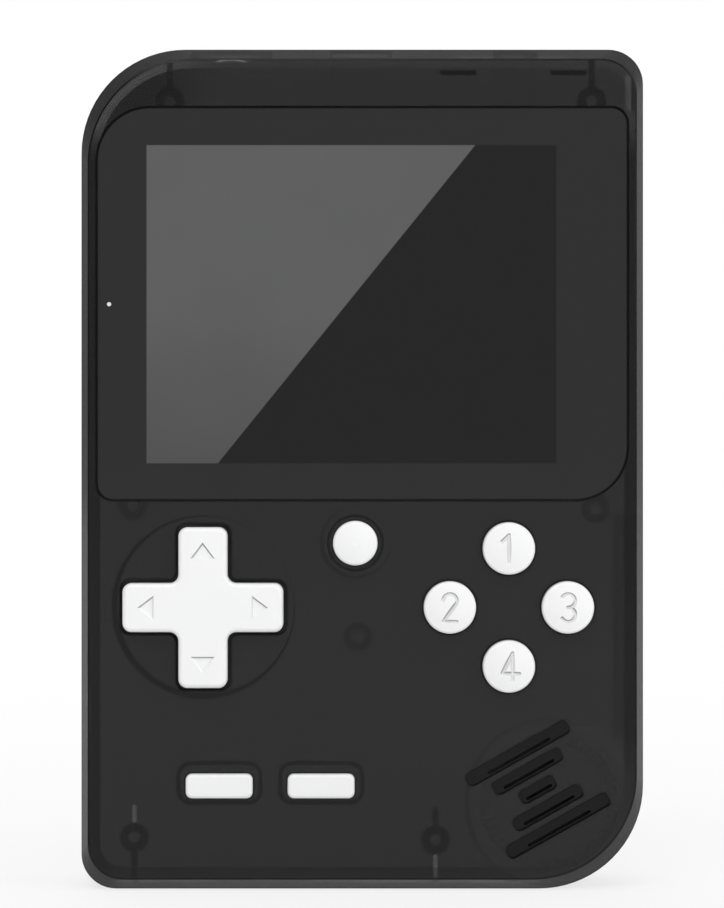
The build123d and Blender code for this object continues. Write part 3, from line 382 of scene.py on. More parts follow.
def remap(value, low, high, to_low=0.0, to_high=1.0, kind="LINEAR"):
    """Value moved from one range to another, held at its ends."""
    return result(value.tree, "ShaderNodeMapRange", value, low, high, to_low, to_high,
                  interpolation_type=kind)


def above(value, limit, soft=SOFT):
    """One where a value is above a limit, with a soft end."""
    return remap(value, limit - soft, limit + soft)


def below(value, limit, soft=SOFT):
    """One where a value is below a limit, with a soft end."""
    return remap(value, limit - soft, limit + soft, 1.0, 0.0)


def band(value, low, high, soft=SOFT):
    """One where a value lies between two others, with soft ends."""
    return below(abs(value - (low + high) / 2), (high - low) / 2, soft)


def place(tree):
    """Place on the object, in metres."""
    return result(tree, "ShaderNodeTexCoord", output="Object")


def axes_of(value):
    """X, Y and Z of a vector."""
    parts = add(value.tree, "ShaderNodeSeparateXYZ", value).outputs
    return {axis: Value(parts[axis]) for axis in "XYZ"}


def length(across, up):
    """Length of a step in X and Z."""
    return across.line(across, up * up).step("SQRT")


def apart(axes, spot):
    """Distance in X and Z from a spot on the face."""
    return length(axes["X"] - spot[0], axes["Z"] - spot[1])


def past_outline(axes, low, high, small, large=None):
    """Distance outside a rectangle with rounded corners; large ones are upper left and lower right."""
    across = axes["X"] - (low[0] + high[0]) / 2
    up = axes["Z"] - (low[1] + high[1]) / 2
    radius = small
    if large is not None:
        radius = (across * up).step("LESS_THAN", 0.0).line(large - small, small)
    past_side = abs(across) - (high[0] - low[0]) / 2 + radius
    past_end = abs(up) - (high[1] - low[1]) / 2 + radius
    outside = length(most(past_side, 0.0), most(past_end, 0.0))
    return outside + least(most(past_side, past_end), 0.0) - radius


def dimmed(shade, mask, share):
    """Shade lessened by a share where a mask is one; a share below zero lightens it."""
    return mask.line(-share, 1.0) * shade


def noise(where, size, detail=2.0):
    """Soft noise whose lumps are about one size across."""
    return result(where.tree, "ShaderNodeTexNoise", Vector=where, Scale=1 / size, Detail=detail)


def spread(lumps, low, high, start=0.3, end=0.7):
    """Soft noise, most of which lies between a start and an end, brought to a range."""
    return remap(lumps, start, end, low, high)


def cells(where, size, **settings):
    """Distance in a pattern of cells about one size across."""
    return result(where.tree, "ShaderNodeTexVoronoi", Vector=where, Scale=1 / size, **settings)


def stretched(where, *shares):
    """Place that runs slower along some axes, which stretches a pattern."""
    return result(where.tree, "ShaderNodeVectorMath", where, shares, operation="MULTIPLY")


def bump(shader, height, depth):
    """Relief of a height between 0 and 1, over a depth in metres."""
    feed(shader.inputs["Normal"], result(height.tree, "ShaderNodeBump", Height=height, Distance=depth))


def darker(colour, share):
    """Colour made darker, or lighter by a share above one."""
    return tuple(min(part * share, 1.0) for part in colour[:3]) + (1.0,)


# Materials and places

def new_material(name):
    """Empty material with its tree and its shader."""
    material = bpy.data.materials.new(name)
    material.use_nodes = True
    return material, material.node_tree, shader_of(material)


def shader_of(material):
    """Shader of a material."""
    return material.node_tree.nodes["Principled BSDF"]


def moulding(name, colour, roughness, metal=0.0, vary=0.05, drift=0.15, relief=0.004 * MM):
    """Moulded or cast surface: faint tone, roughness that drifts and a fine relief."""
    material, tree, shader = new_material(name)
    broad_size, fine_size = 12 * MM, 0.5 * MM
    where = place(tree)
    broad = noise(where, broad_size)
    feed(shader.inputs["Base Color"], mix(broad, darker(colour, 1 - vary), darker(colour, 1 + vary)))
    feed(shader.inputs["Roughness"], spread(broad, roughness * (1 - drift), roughness * (1 + drift)))
    shader.inputs["Metallic"].default_value = metal
    if relief:
        bump(shader, noise(where, fine_size, detail=4.0), relief)
    return material


def over(material, mask, colour):
    """Paints a colour over a material's own tone where a mask is one."""
    base = shader_of(material).inputs["Base Color"]
    feed(base, mix(mask, Value(base.links[0].from_socket), colour))


def middle(name):
    """Middle of a node in X and Z."""
    low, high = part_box(name)
    return (low.x + high.x) / 2, (low.z + high.z) / 2


def clumps(name, reach=5 * MM):
    """Middle in X and Z of each solid of a node, whose solids stand further apart than a reach."""
    groups = []
    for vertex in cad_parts[name].data.vertices:
        spot = (vertex.co.x, vertex.co.z)
        near = [group for group in groups if math.dist(group[0], spot) < reach]
        if near:
            near[0].append(spot)
        else:
            groups.append([spot])
    places = []
    for group in groups:
        across, up = zip(*group)
        places.append(((min(across) + max(across)) / 2, (min(up) + max(up)) / 2))
    return places


def dress(material, *names):
    """Puts a material on nodes of the frame."""
    for name in names:
        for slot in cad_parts[name].material_slots:
            slot.material = material


# Painted shade and light where what stands behind the smoked plate would show

def block_mask(axes, low, high, corner):
    """Mask of a rectangle with rounded corners."""
    return below(past_outline(axes, low, high, corner), 0.0)


def upright(axes, across, start, stop, half, corner):
    """Mask of an upright bar about a line."""
    return block_mask(axes, (across - half, start), (across + half, stop), corner)


def cross(spot, reach, half, corner):
    """The two bars of a cross, each with two of its corners and their radius."""
    across, up = spot
    sizes = ((reach, half), (half, reach))
    return [((across - wide, up - tall), (across + wide, up + tall), corner) for wide, tall in sizes]


def boss_ring(axes, spot, settings):
    """Mask of the end of a boss or post."""
    return band(apart(axes, spot), settings.boss_hole, settings.boss)


def crescent(axes, spot, radius, width, shift):
    """Mask of a ring that is thick at the lower left and thin at the upper right."""
    inner = apart(axes, (spot[0] + shift, spot[1] + shift))
    return below(apart(axes, spot), radius + width) * above(inner, radius)


def strong_marks(axes, settings):
    """Masks of painted shade where the shell's bosses and their ribs and the frames of the menu buttons
    stand behind the plate.
    """
    low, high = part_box("front_shell")
    hole, half, ring = settings.boss_hole, settings.rib / 2, settings.ring
    masks = []
    for across, up in clumps("shell_screws"):
        masks.append(boss_ring(axes, (across, up), settings))
        if up > (low.z + high.z) / 2:
            start, stop = up + hole, high.z - settings.bevel_end
        elif across < 0:
            start, stop = low.z + settings.bevel_end, up - hole
        else:
            start, stop = up + settings.boss, up + settings.rib_reach
        masks.append(upright(axes, across, start, stop, half, half))
    for node in ("select_button", "start_button"):
        near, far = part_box(node)
        out, rise = settings.menu_gap + ring, settings.menu_rise
        outer = past_outline(axes, (near.x - out, near.z - out + rise),
                             (far.x + out, far.z + out + rise), settings.boss)
        masks.append(band(outer, -ring, 0.0))
    wide, shift = ring * 0.8, ring * 0.55
    masks.append(crescent(axes, middle("direction_pad"), settings.pad_ring, wide, shift))
    return masks


def black_marks(axes, settings):
    """Masks of painted shade over the snap hooks behind the plate and in the narrow gaps round the
    controls.
    """
    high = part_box("front_shell")[1]
    tall, gap = settings.hook_tall, settings.control_gap
    top, corner = high.z - settings.hook_below + tall / 2, tall / 8
    masks = []
    for inward in (settings.hook_in_outer, settings.hook_in_inner):
        masks.append(upright(axes, high.x - inward, top - tall, top, settings.hook_wide / 2, corner))
    for name in (*ROUND_BUTTONS, "reset_button"):
        masks.append(band(apart(axes, middle(name)), settings.button, settings.button + gap))
    bars = cross(middle("direction_pad"), settings.pad_half, settings.pad_arm / 2,
                 settings.pad_corner)
    masks.append(band(least(*(past_outline(axes, *bar) for bar in bars)), 0.0, gap * 2))
    return masks


def faint_marks(axes, settings):
    """Masks of painted shade where the board's posts and the rings round the reset button and the
    loudspeaker stand behind the plate.
    """
    masks = [boss_ring(axes, spot, settings) for spot in clumps("board_screws")]
    half, shift = settings.ring / 2, settings.ring / 3
    for node, outer in (("reset_button", settings.reset_ring), ("speaker_frame", settings.speaker_ring)):
        masks.append(crescent(axes, middle(node), outer - half, half, shift))
    return masks


def light_marks(axes, settings):
    """Masks of painted light on the halves of the lower ribs that catch light."""
    half = settings.rib / 3
    corner = half / 4
    masks = []
    for across, up in clumps("shell_screws"):
        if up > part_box("main_board")[1].z / 2:
            continue
        start, stop = up + settings.boss, up + settings.rib_reach
        if across > 0:
            start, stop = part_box("front_shell")[0].z + settings.bevel_end, up - settings.boss
        masks.append(upright(axes, across, start, stop, half, corner))
    return masks


def catch_marks(axes, settings):
    """Masks of painted light on the catch in the upper right corner and of painted shade in the slot beside
    it.
    """
    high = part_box("front_shell")[1]
    drop, slot_share = 1.45, 0.6
    left, top = high.x - settings.catch_in, high.z - settings.catch_in * drop
    wide, bottom = settings.catch_wide, top - settings.catch_tall
    right, corner = left + wide, wide / 8
    light = block_mask(axes, (left, bottom), (right, top), corner)
    dark = block_mask(axes, (right, bottom), (right + wide * slot_share, top + wide), corner)
    return light, dark


def wall_shade(axes, edge, settings):
    """Painted shade and light of the side walls behind the plate: light round the upper end, dark lower
    down, shaded in the upper left corner, with a painted shadow strip at the right and a dark line along
    the bevel.
    """
    low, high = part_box("front_shell")
    side_near, side_far, side_left = 3 * MM, 5 * MM, 0.7
    lower_near, lower_far, lower_left = 12 * MM, 22 * MM, 0.25
    upper_near, upper_far = 12 * MM, 20 * MM
    line_in, line_out, line_dark = 0.18 * MM, 0.08 * MM, 0.97
    wall_gap, shadow_soft = 0.1 * MM, 0.3 * MM
    lit_corner, lit_rest = 1.2, 0.4
    raised = remap(axes["Z"], settings.wall_light_from - settings.wall_light_run,
                   settings.wall_light_from)
    from_side = least(axes["X"] - low.x, high.x - axes["X"])
    dark = band(edge, -settings.wall_thick, -wall_gap) * (1.0 - raised)
    dark = dark * remap(from_side, side_near, side_far, 1.0, side_left)
    dark = dark * remap(apart(axes, (high.x, low.z)), lower_near, lower_far, lower_left, 1.0)
    shade = dimmed(1.0, dark, settings.wall_dark)
    # Painted shade in the upper left corner, and painted light on the wall's band near the top
    corner = remap(apart(axes, (low.x, high.z)), upper_near, upper_far, 1.0, 0.0)
    inside = below(edge, -settings.wall_far - SOFT)
    shade = dimmed(shade, corner * inside, settings.corner_dark)
    lit = band(edge, -settings.wall_far, -settings.wall_near) * raised
    shade = dimmed(shade, lit * corner.line(lit_corner, lit_rest), -1.0)
    # Painted shadow in a strip inside the right side
    shadow = band(axes["Z"], settings.shadow_from, settings.shadow_to, shadow_soft)
    shadow = above(axes["X"], high.x - settings.shadow_in) * shadow
    shade = dimmed(shade, shadow, settings.shadow_dark)
    return dimmed(shade, band(edge, -line_in, line_out), line_dark)


def bevel_shade(shade, axes, edge, settings):
    """Painted shade and light on the bevel: less light at the left and the top, a painted dark rim along
    the outline, painted shade where the wheel, the knob's slots and the sockets show, and a painted light
    edge where the knob shows.
    """
    low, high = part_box("front_shell")
    dim_near, dim_far = 4 * MM, 24 * MM
    end_far, end_near = 12 * MM, 2 * MM
    side_near, side_far = 14 * MM, 15 * MM
    slot_low, slot_high, socket_corner, rim_soft = 0.2 * MM, 0.4 * MM, 0.2 * MM, 0.06 * MM
    rim_dark, wheel_dark, sockets_dark, slots_dark = 0.7, 0.85, 0.92, 0.95
    beyond = above(edge, 0.0, FINE / 2)
    dim = remap(axes["X"], low.x + dim_near, low.x + dim_far, settings.left_dim, settings.top_dim)
    at_end = remap(axes["Z"], high.z - end_far, high.z - end_near)
    at_side = remap(axes["X"], low.x + side_near, low.x + side_far, 1.0, 0.0)
    shade = dimmed(shade, dim * most(at_end, at_side) * beyond, 1.0)
    # Painted shade along the outline
    rim = past_outline(axes, (low.x, low.z), (high.x, high.z), settings.small_corner,
                       settings.large_corner)
    shade = dimmed(shade, above(rim, -settings.rim, rim_soft), rim_dark)
    # Painted shade where the volume wheel shows through the bevel
    wheel = below(apart(axes, middle("volume_wheel")), settings.wheel)
    shade = dimmed(shade, wheel * beyond, wheel_dark)
    level = high.z - settings.knob_below
    # Painted shade where the knob, the charging socket and the jack show, and in the knob's slots
    sockets = []
    for node in ("power_knob", "usb_socket", "jack_body"):
        near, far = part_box(node)
        sockets.append(block_mask(axes, (near.x, level), (far.x, high.z - settings.socket_below),
                                  socket_corner))
    shade = dimmed(shade, most(*sockets), sockets_dark)
    across = middle("power_knob")[0]
    slots = band(abs(axes["X"] - across), settings.slot_from, settings.slot_to)
    slots = slots * band(axes["Z"], level + slot_low, level + slot_high)
    shade = dimmed(shade, slots, slots_dark)
    # Painted light edge where the white power knob shows through the bevel
    outer, inner = settings.knob_arc, settings.knob_arc * settings.knob_flat
    under = level - settings.knob_edge - inner
    arc = below(apart(axes, (across, level - outer)), outer, FINE)
    arc = arc * above(apart(axes, (across, under)), inner, FINE)
    return dimmed(shade, arc, -settings.knob_shine)


def front_shade(where, settings):
    """Share of the tint that is left on the front plate, with painted shade and light over bosses, ribs,
    rings and hollows and on the bevel.
    """
    axes = axes_of(where)
    low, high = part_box("front_shell")
    side, end = settings.bevel_side, settings.bevel_end
    edge = past_outline(axes, (low.x + side, low.z + end), (high.x - side, high.z - end),
                        settings.small_corner, settings.large_corner)
    shade = wall_shade(axes, edge, settings)
    # Painted shade over bosses, ribs, rings, hooks and gaps, and painted light on the lower ribs
    kinds = ((strong_marks, settings.strong), (faint_marks, settings.faint),
             (black_marks, settings.black), (light_marks, -settings.lit_rib))
    for marks, share in kinds:
        shade = dimmed(shade, most(*marks(axes, settings)), share)
    # Painted light on the corner catch and painted shade in the slot beside it
    light, dark = catch_marks(axes, settings)
    shade = dimmed(dimmed(shade, light, -settings.lit_catch), dark, settings.catch_dark)
    shade = bevel_shade(shade, axes, edge, settings)
    # Painted shade on every surface sunk below the face: the lens seat, the grille's slots and the walls of
    # the holes
    seat_deep, seat_edge = 0.14 * MM, 0.45 * MM
    sunk = above(axes["Y"], low.y + seat_deep, FINE / 2)
    flat = below(edge, -seat_edge)
    shade = dimmed(shade, sunk * flat, settings.sunk_shade)
    front = remap(axes["Y"], low.y + settings.plate + MM, low.y + settings.plate)
    return (shade - 1.0).line(front, 1.0)


# Finishes

def smoke_plastic(settings):
    """Polished plastic tinted like smoke, with painted shade and light on the front plate where what stands
    behind it would show.
    """
    material, tree, shader = new_material("smoke_plastic")
    where = place(tree)
    vary, grain_size, grain_deep = 0.04, settings.smudge / 40, 0.0004 * MM
    smudge = noise(where, settings.smudge, detail=3.0)
    plain = mix(smudge, darker(settings.tint, 1 - vary), darker(settings.tint, 1 + vary))
    smooth, rough = settings.roughness * 0.8, settings.roughness * 1.3
    feed(shader.inputs["Base Color"], scaled(plain, front_shade(where, settings)))
    feed(shader.inputs["Roughness"], spread(smudge, smooth, rough, start=0.35))
    bump(shader, noise(where, grain_size), grain_deep)
    shader.inputs["Transmission Weight"].default_value = settings.clear
    shader.inputs["IOR"].default_value = 1.3
    return material


def lens_plastic(settings):
    """Dark hard cover whose window shows the display's two tones, a painted reflection: a lit upper left
    half and a dim lower right half.
    """
    material, tree, shader = new_material("lens_plastic")
    where = place(tree)
    axes = axes_of(where)
    low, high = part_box("lcd_gasket")
    left, right = low.x + settings.inset, high.x - settings.inset
    bottom, top = low.z + settings.inset, high.z - settings.inset
    past_side = abs(axes["X"] - (left + right) / 2) - (right - left) / 2
    past_end = abs(axes["Z"] - (bottom + top) / 2) - (top - bottom) / 2
    window = below(most(past_side, past_end), 0.0, settings.edge)
    height = remap(axes["Z"], bottom, top)
    reach = right - left
    start = left + reach * settings.bottom_share
    run = reach * (settings.top_share - settings.bottom_share)
    # Painted reflection: the upper left half is lit and fades towards the bottom, the lower right half
    # stays dim
    dim = above(axes["X"] - height.line(run, start), 0.0, settings.edge)
    fade_end, foot_share, cloud_vary = 0.45, 0.735, 0.04
    smooth, rough, wave_deep = 0.05, 0.11, 0.002 * MM
    cloud_size, wipe_size, wave_size = 16 * MM, 9 * MM, 6 * MM
    reflection_fade = remap(height, 0.0, fade_end, foot_share, 1.0)
    cloud = spread(noise(where, cloud_size), 1 - cloud_vary, 1 + cloud_vary)
    display = mix(dim, scaled(settings.bright[:3], reflection_fade * cloud), settings.dim[:])
    feed(shader.inputs["Base Color"], mix(window, settings.border[:], display))
    feed(shader.inputs["Roughness"], spread(noise(where, wipe_size, detail=3.0), smooth, rough, start=0.35))
    bump(shader, noise(where, wave_size), wave_deep)
    shader.inputs["Specular IOR Level"].default_value = 0.25
    return material


def engraved_zones(axes, settings):
    """Masks of the middles of the round buttons and of the direction pad's arms."""
    masks = []
    for name in ROUND_BUTTONS:
        masks.append(below(apart(axes, middle(name)), settings.numeral_reach + SOFT))
    half = settings.arrow_half
    for bar in cross(middle("direction_pad"), settings.arrow_reach, half, half / 2):
        masks.append(block_mask(axes, *bar))
    return masks


def white_plastic(settings):
    """Satin white plastic, with painted shade on the slopes of its engravings that face down and on its
    parts behind the face of the shell.
    """
    material = moulding("white_plastic", settings.white, settings.roughness, vary=0.01)
    tree = material.node_tree
    way = axes_of(result(tree, "ShaderNodeNewGeometry", output="True Normal"))
    axes = axes_of(place(tree))
    slope_soft, turn_from, turn_to = 0.02, 0.12, -0.35
    hidden_deep, hidden_soft = 0.25 * MM, 0.15 * MM
    slope = band(way["Y"], settings.slope_low, settings.slope_high, slope_soft)
    turned_down = remap(way["Z"], turn_from, turn_to)
    inward = most(*engraved_zones(axes, settings))
    over(material, slope * turned_down * inward, darker(settings.white, settings.shaded))
    # Painted shade on the parts behind the face of the shell, all but the power knob above the lens
    deep = above(axes["Y"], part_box("front_shell")[0].y + hidden_deep, hidden_soft)
    under_lens = axes["Z"].step("LESS_THAN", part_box("screen_lens")[0].z)
    over(material, deep * under_lens, darker(settings.white, settings.hidden_shade))
    return material


def board_laminate():
    """Dark solder mask with faint tracks under it."""
    track_colour, track_gap = (0.02, 0.075, 0.04, 1), 3 * MM
    track_in, track_out = 0.05, 0.08
    material = moulding("board_laminate", colour=(0.012, 0.03, 0.018), roughness=0.4)
    edges = cells(place(material.node_tree), track_gap, distance="CHEBYCHEV",
                  feature="DISTANCE_TO_EDGE")
    over(material, remap(edges, track_in, track_out, 1.0, 0.0), track_colour)
    return material


def cable_film():
    """Amber film over fine conductors that run along it."""
    conductor_colour, pitch = (0.42, 0.2, 0.06, 1), 0.7 * MM
    conductor_from, conductor_to, conductor_soft = 0.25, 0.75, 0.06
    material = moulding("cable_film", colour=(0.25, 0.12, 0.04), roughness=0.4)
    across = axes_of(place(material.node_tree))["X"]
    turn = (across * (1 / pitch)).step("FRACT")
    over(material, band(turn, conductor_from, conductor_to, conductor_soft), conductor_colour)
    return material


def lead_insulation():
    """Insulation of the loudspeaker's leads: the upper one red, the lower one black."""
    black = (0.015, 0.015, 0.015, 1)
    material = moulding("lead_insulation", colour=(0.3, 0.03, 0.03), roughness=0.45)
    up = axes_of(place(material.node_tree))["Z"]
    over(material, up.step("LESS_THAN", middle("speaker_leads")[1]), black)
    return material


def plated_steel():
    """Plated steel with fine drawn lines."""
    drawn, line_size, line_deep = 0.04, 0.08 * MM, 0.002 * MM
    smooth, rough = 0.24, 0.4
    material = moulding("plated_steel", colour=(0.55, 0.55, 0.56), roughness=0.3, metal=1.0, relief=0)
    lines = noise(stretched(place(material.node_tree), drawn, 1.0, 1.0), line_size, detail=3.0)
    feed(shader_of(material).inputs["Roughness"], spread(lines, smooth, rough))
    bump(shader_of(material), lines, line_deep)
    return material


def black_foam():
    """Black foam with open cells."""
    cell_size, cell_deep = 0.25 * MM, 0.05 * MM
    material = moulding("black_foam", colour=(0.02, 0.02, 0.02), roughness=0.85, relief=0)
    bump(shader_of(material), cells(place(material.node_tree), cell_size), cell_deep)
    return material


def battery_wrap():
    """Shrunk film round the battery, slightly creased."""
    drawn, crease_size, crease_deep = 0.15, 3 * MM, 0.12 * MM
    material = moulding("battery_wrap", colour=(0.06, 0.07, 0.09), roughness=0.35, relief=0)
    crease = noise(stretched(place(material.node_tree), 1.0, 1.0, drawn), crease_size, detail=4.0)
    bump(shader_of(material), crease, crease_deep)
    return material


MADE_FINISHES = (board_laminate, cable_film, lead_insulation, plated_steel, black_foam, battery_wrap)

# Colour and roughness, and how much of it is metal where it is
PLAIN_FINISHES = {
    "display_glass": ((0.02, 0.02, 0.022), 0.1),
    "light_guide": ((0.75, 0.77, 0.8), 0.3),
    "power_light": ((0.85, 0.85, 0.8), 0.3),
    "soft_rubber": ((0.05, 0.05, 0.052), 0.55),
    "black_moulding": ((0.02, 0.02, 0.021), 0.5),
    "ceramic_chip": ((0.35, 0.27, 0.18), 0.45),
    "cone_paper": ((0.05, 0.05, 0.05), 0.8),
    "black_steel": ((0.012, 0.012, 0.012), 0.6),
    "gold_contact": ((0.75, 0.56, 0.25), 0.25, 1.0),
}


def finish(name):
    """Material of a finish, made once."""
    found = bpy.data.materials.get(name)
    if found:
        return found
    for maker in MADE_FINISHES:
        if maker.__name__ == name:
            return maker()
    return moulding(name, *PLAIN_FINISHES[name])


# Geometry trees

def new_tree(name, sizes):
    """Geometry tree with its named sizes, and what comes in."""
    tree = bpy.data.node_groups.new(name, "GeometryNodeTree")
    for side in ("INPUT", "OUTPUT"):
        tree.interface.new_socket("Geometry", in_out=side, socket_type="NodeSocketGeometry")
    for size, value in sizes.items():
        kind = "NodeSocketInt" if isinstance(value, int) else "NodeSocketFloat"
        tree.interface.new_socket(size, in_out="INPUT", socket_type=kind)
    sockets = tree.nodes.new("NodeGroupInput").outputs
    return tree, {size: Value(sockets[size]) for size in ("Geometry", *sizes)}


def vector(tree, x=0.0, y=0.0, z=0.0):
    """Vector made of three values."""
    return result(tree, "ShaderNodeCombineXYZ", x, y, z)


def moved(geometry, spot=(0, 0, 0), turn=(0, 0, 0)):
    """Geometry moved and turned."""
    return result(geometry.tree, "GeometryNodeTransform", Geometry=geometry, Translation=spot,
                  Rotation=turn)


def joined(*parts):
    """Several geometries as one."""
    node = add(parts[0].tree, "GeometryNodeJoinGeometry")
    for part in reversed(parts):
        feed(node.inputs[0], part)
    return Value(node.outputs[0])


def cut_away(whole, *cutters):
    """Geometry less several others."""
    node = add(whole.tree, "GeometryNodeMeshBoolean", operation="DIFFERENCE", solver="EXACT",
               Mesh_1=whole)
    for cutter in cutters:
        feed(node.inputs["Mesh 2"], cutter)
    return Value(node.outputs[0])


def cuboid(tree, size, spot=(0, 0, 0)):
    """Block of a size about a spot."""
    return moved(result(tree, "GeometryNodeMeshCube", Size=size), spot)


def ring_curve(tree, radius, points):
    """Round curve with a number of points."""
    return result(tree, "GeometryNodeCurvePrimitiveCircle", Resolution=points, Radius=radius)


def swept(path, profile, scale=None):
    """Closed solid that carries a profile along a path."""
    return result(path.tree, "GeometryNodeCurveToMesh", Curve=path, Profile_Curve=profile,
                  Scale=scale, Fill_Caps=True)


def rod(tree, bottom, top, steps, profile, scale=None):
    """Solid that carries a profile along Z, with a scale for each step where one is given."""
    line = result(tree, "GeometryNodeCurvePrimitiveLine", Start=vector(tree, z=bottom),
                  End=vector(tree, z=top))
    return swept(result(tree, "GeometryNodeResampleCurve", Curve=line, Count=steps), profile, scale)


def along(tree):
    """Share of the way along a curve."""
    return result(tree, "GeometryNodeSplineParameter", output="Factor")


def copies(points, piece, turn=None):
    """A copy of a piece at each point, turned where a turn is given."""
    return result(piece.tree, "GeometryNodeInstanceOnPoints", Points=points, Instance=piece,
                  Rotation=turn)


def row(piece, number_of, pitch):
    """Copies of a piece in a row along X, about the middle."""
    tree, reach = piece.tree, (number_of - 1.0) * pitch
    line = result(tree, "GeometryNodeMeshLine", Count=number_of, Offset=vector(tree, x=pitch),
                  Start_Location=vector(tree, x=reach * -0.5))
    return copies(line, piece)


def end_tree(geometry, material):
    """Makes the copies real, gives them a material, ends the tree and returns it."""
    tree = geometry.tree
    real = result(tree, "GeometryNodeRealizeInstances", geometry)
    painted = result(tree, "GeometryNodeSetMaterial", Geometry=real, Material=material)
    add(tree, "NodeGroupOutput", painted)
    return tree


def grow(name, tree, sizes, spots, replaced=(), faces=(), body="console"):
    """Runs a geometry tree on points or faces and keeps the result as a plain mesh on a body."""
    seed = bpy.data.meshes.new(name)
    seed.from_pydata(spots, [], faces)
    thing = bpy.data.objects.new(name, seed)
    bpy.context.scene.collection.objects.link(thing)
    modifier = thing.modifiers.new(name, "NODES")
    modifier.node_group = tree
    for socket in tree.interface.items_tree:
        if socket.in_out == "INPUT" and socket.name in sizes:
            modifier[socket.identifier] = sizes[socket.name]
    graph = bpy.context.evaluated_depsgraph_get()
    made = bpy.data.meshes.new_from_object(thing.evaluated_get(graph))
    thing.modifiers.remove(modifier)
    thing.data = made
    while made.materials[0] is None:
        made.materials.pop(index=0)
    made.shade_smooth()
    made.set_sharp_from_angle(angle=SHARP)
    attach(thing, body)
    if replaced:
        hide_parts(*replaced)
    return thing


def screw_tree(material, sizes):
    """Screw with a domed head, a cross slot, a core and a thread, its head towards the back."""
    tree, given = new_tree("screw", sizes)
    head_steps, head_points, shank_steps, shank_points, turn_points = 12, 40, 24, 20, 20
    drop, drop_power, ridge_points, thread_share, thread_from = -0.7, 4.0, 3, 0.8, -0.94
    tip, tip_share, core_share, ridge_share = 0.12, 0.45, 0.8, 0.17
    head, thick, wide = given["Head radius"], given["Head thickness"], given["Slot"]
    dome = along(tree).step("POWER", drop_power).line(drop, 1.0).step("SQRT")
    cap = rod(tree, 0.0, thick, head_steps, ring_curve(tree, 1.0, head_points), dome * head)
    deep = thick * 0.5
    spot = vector(tree, z=thick)
    slots = [cuboid(tree, vector(tree, *size, deep), spot) for size in ((head, wide), (wide, head))]
    cap = cut_away(cap, *slots)
    outer, long = given["Thread radius"], given["Length"]
    core = outer * core_share
    point = remap(along(tree), 0.0, tip, tip_share, 1.0)
    shank = rod(tree, long * -1.0, deep * 0.5, shank_steps, ring_curve(tree, 1.0, shank_points),
                point * core)
    threaded = long * thread_share
    spiral = result(tree, "GeometryNodeCurveSpiral", Resolution=turn_points, Height=threaded,
                    Rotations=threaded / given["Pitch"], Start_Radius=core, End_Radius=core)
    ridge = ring_curve(tree, outer * ridge_share, ridge_points)
    thread = moved(swept(spiral, ridge), vector(tree, z=long * thread_from))
    whole = moved(joined(cap, shank, thread), turn=TO_BACK)
    return end_tree(copies(given["Geometry"], whole), material)


def wheel_tree(material, sizes):
    """Knurled thumbwheel with broken rims, a sunk hub and a bore."""
    tree, given = new_tree("wheel", sizes)
    radius, thick = given["Radius"], given["Thickness"]
    star = result(tree, "GeometryNodeCurveStar", Points=given["Teeth"], Outer_Radius=radius,
                  Inner_Radius=radius - given["Tooth"])
    off = abs(along(tree).line(2.0, -1.0))
    disc_steps, hub_points, bore_points, break_share, break_power = 10, 48, 32, 0.04, 8.0
    broken = off.step("POWER", break_power).line(-break_share, 1.0)
    disc = rod(tree, 0.0, thick, disc_steps, star, broken)
    far = thick + OVERRUN
    hub = rod(tree, thick - given["Hub sink"], far, 2, ring_curve(tree, given["Hub radius"], hub_points))
    bore = rod(tree, -OVERRUN, far, 2, ring_curve(tree, given["Bore"], bore_points))
    whole = moved(cut_away(disc, hub, bore), turn=TO_BACK)
    return end_tree(copies(given["Geometry"], whole), material)


def legs_tree(material, sizes):
    """Rows of bent legs round a chip."""
    tree, given = new_tree("legs", sizes)
    reach, tall, wide, thick = (given[size] for size in ("Reach", "Height", "Width", "Metal"))
    knee = reach * 0.4
    blocks = (
        ((wide, knee, thick), (0.0, knee * 0.5, tall)),
        ((wide, thick, tall), (0.0, knee, tall * 0.5)),
        ((wide, reach - knee, thick), (0.0, (reach + knee) * 0.5, thick * 0.5)),
    )
    parts = [cuboid(tree, vector(tree, *size), vector(tree, *spot)) for size, spot in blocks]
    side = moved(row(joined(*parts), given["Legs"], given["Pitch"]), vector(tree, y=given["Half side"]))
    sides = result(tree, "GeometryNodeMeshLine", Count=given["Sides"], Offset=(0, 0, 0))
    turn = result(tree, "GeometryNodeInputIndex") / given["Sides"] * math.tau
    whole = moved(copies(sides, side, vector(tree, z=turn)), turn=TO_BACK)
    return end_tree(copies(given["Geometry"], whole), material)


def strips_tree(material, sizes):
    """Row of flat strips along X at each point."""
    tree, given = new_tree("strips", sizes)
    strip = cuboid(tree, vector(tree, given["Width"], given["Thickness"], given["Length"]))
    line = row(strip, given["Count"], given["Pitch"])
    return end_tree(copies(given["Geometry"], line), material)


def dome_tree(material, sizes):
    """Hollow rubber dome that stands on the board and points to the front."""
    tree, given = new_tree("dome", sizes)
    dome_steps, dome_points = 38, 40
    solids = []
    for thin, start, crown in ((0.0, 0.0, 0.0), (given["Wall"], -OVERRUN, given["Crown"])):
        top = given["Height"] - crown
        height = remap(along(tree), 0.0, 1.0, start, top)
        wide = remap(height, given["Sheet"], top, given["Base"], given["Top"])
        solids.append(rod(tree, start, top, dome_steps, ring_curve(tree, 1.0, dome_points), wide - thin))
    dome = moved(cut_away(*solids), turn=TO_FRONT)
    return end_tree(copies(given["Geometry"], dome), material)


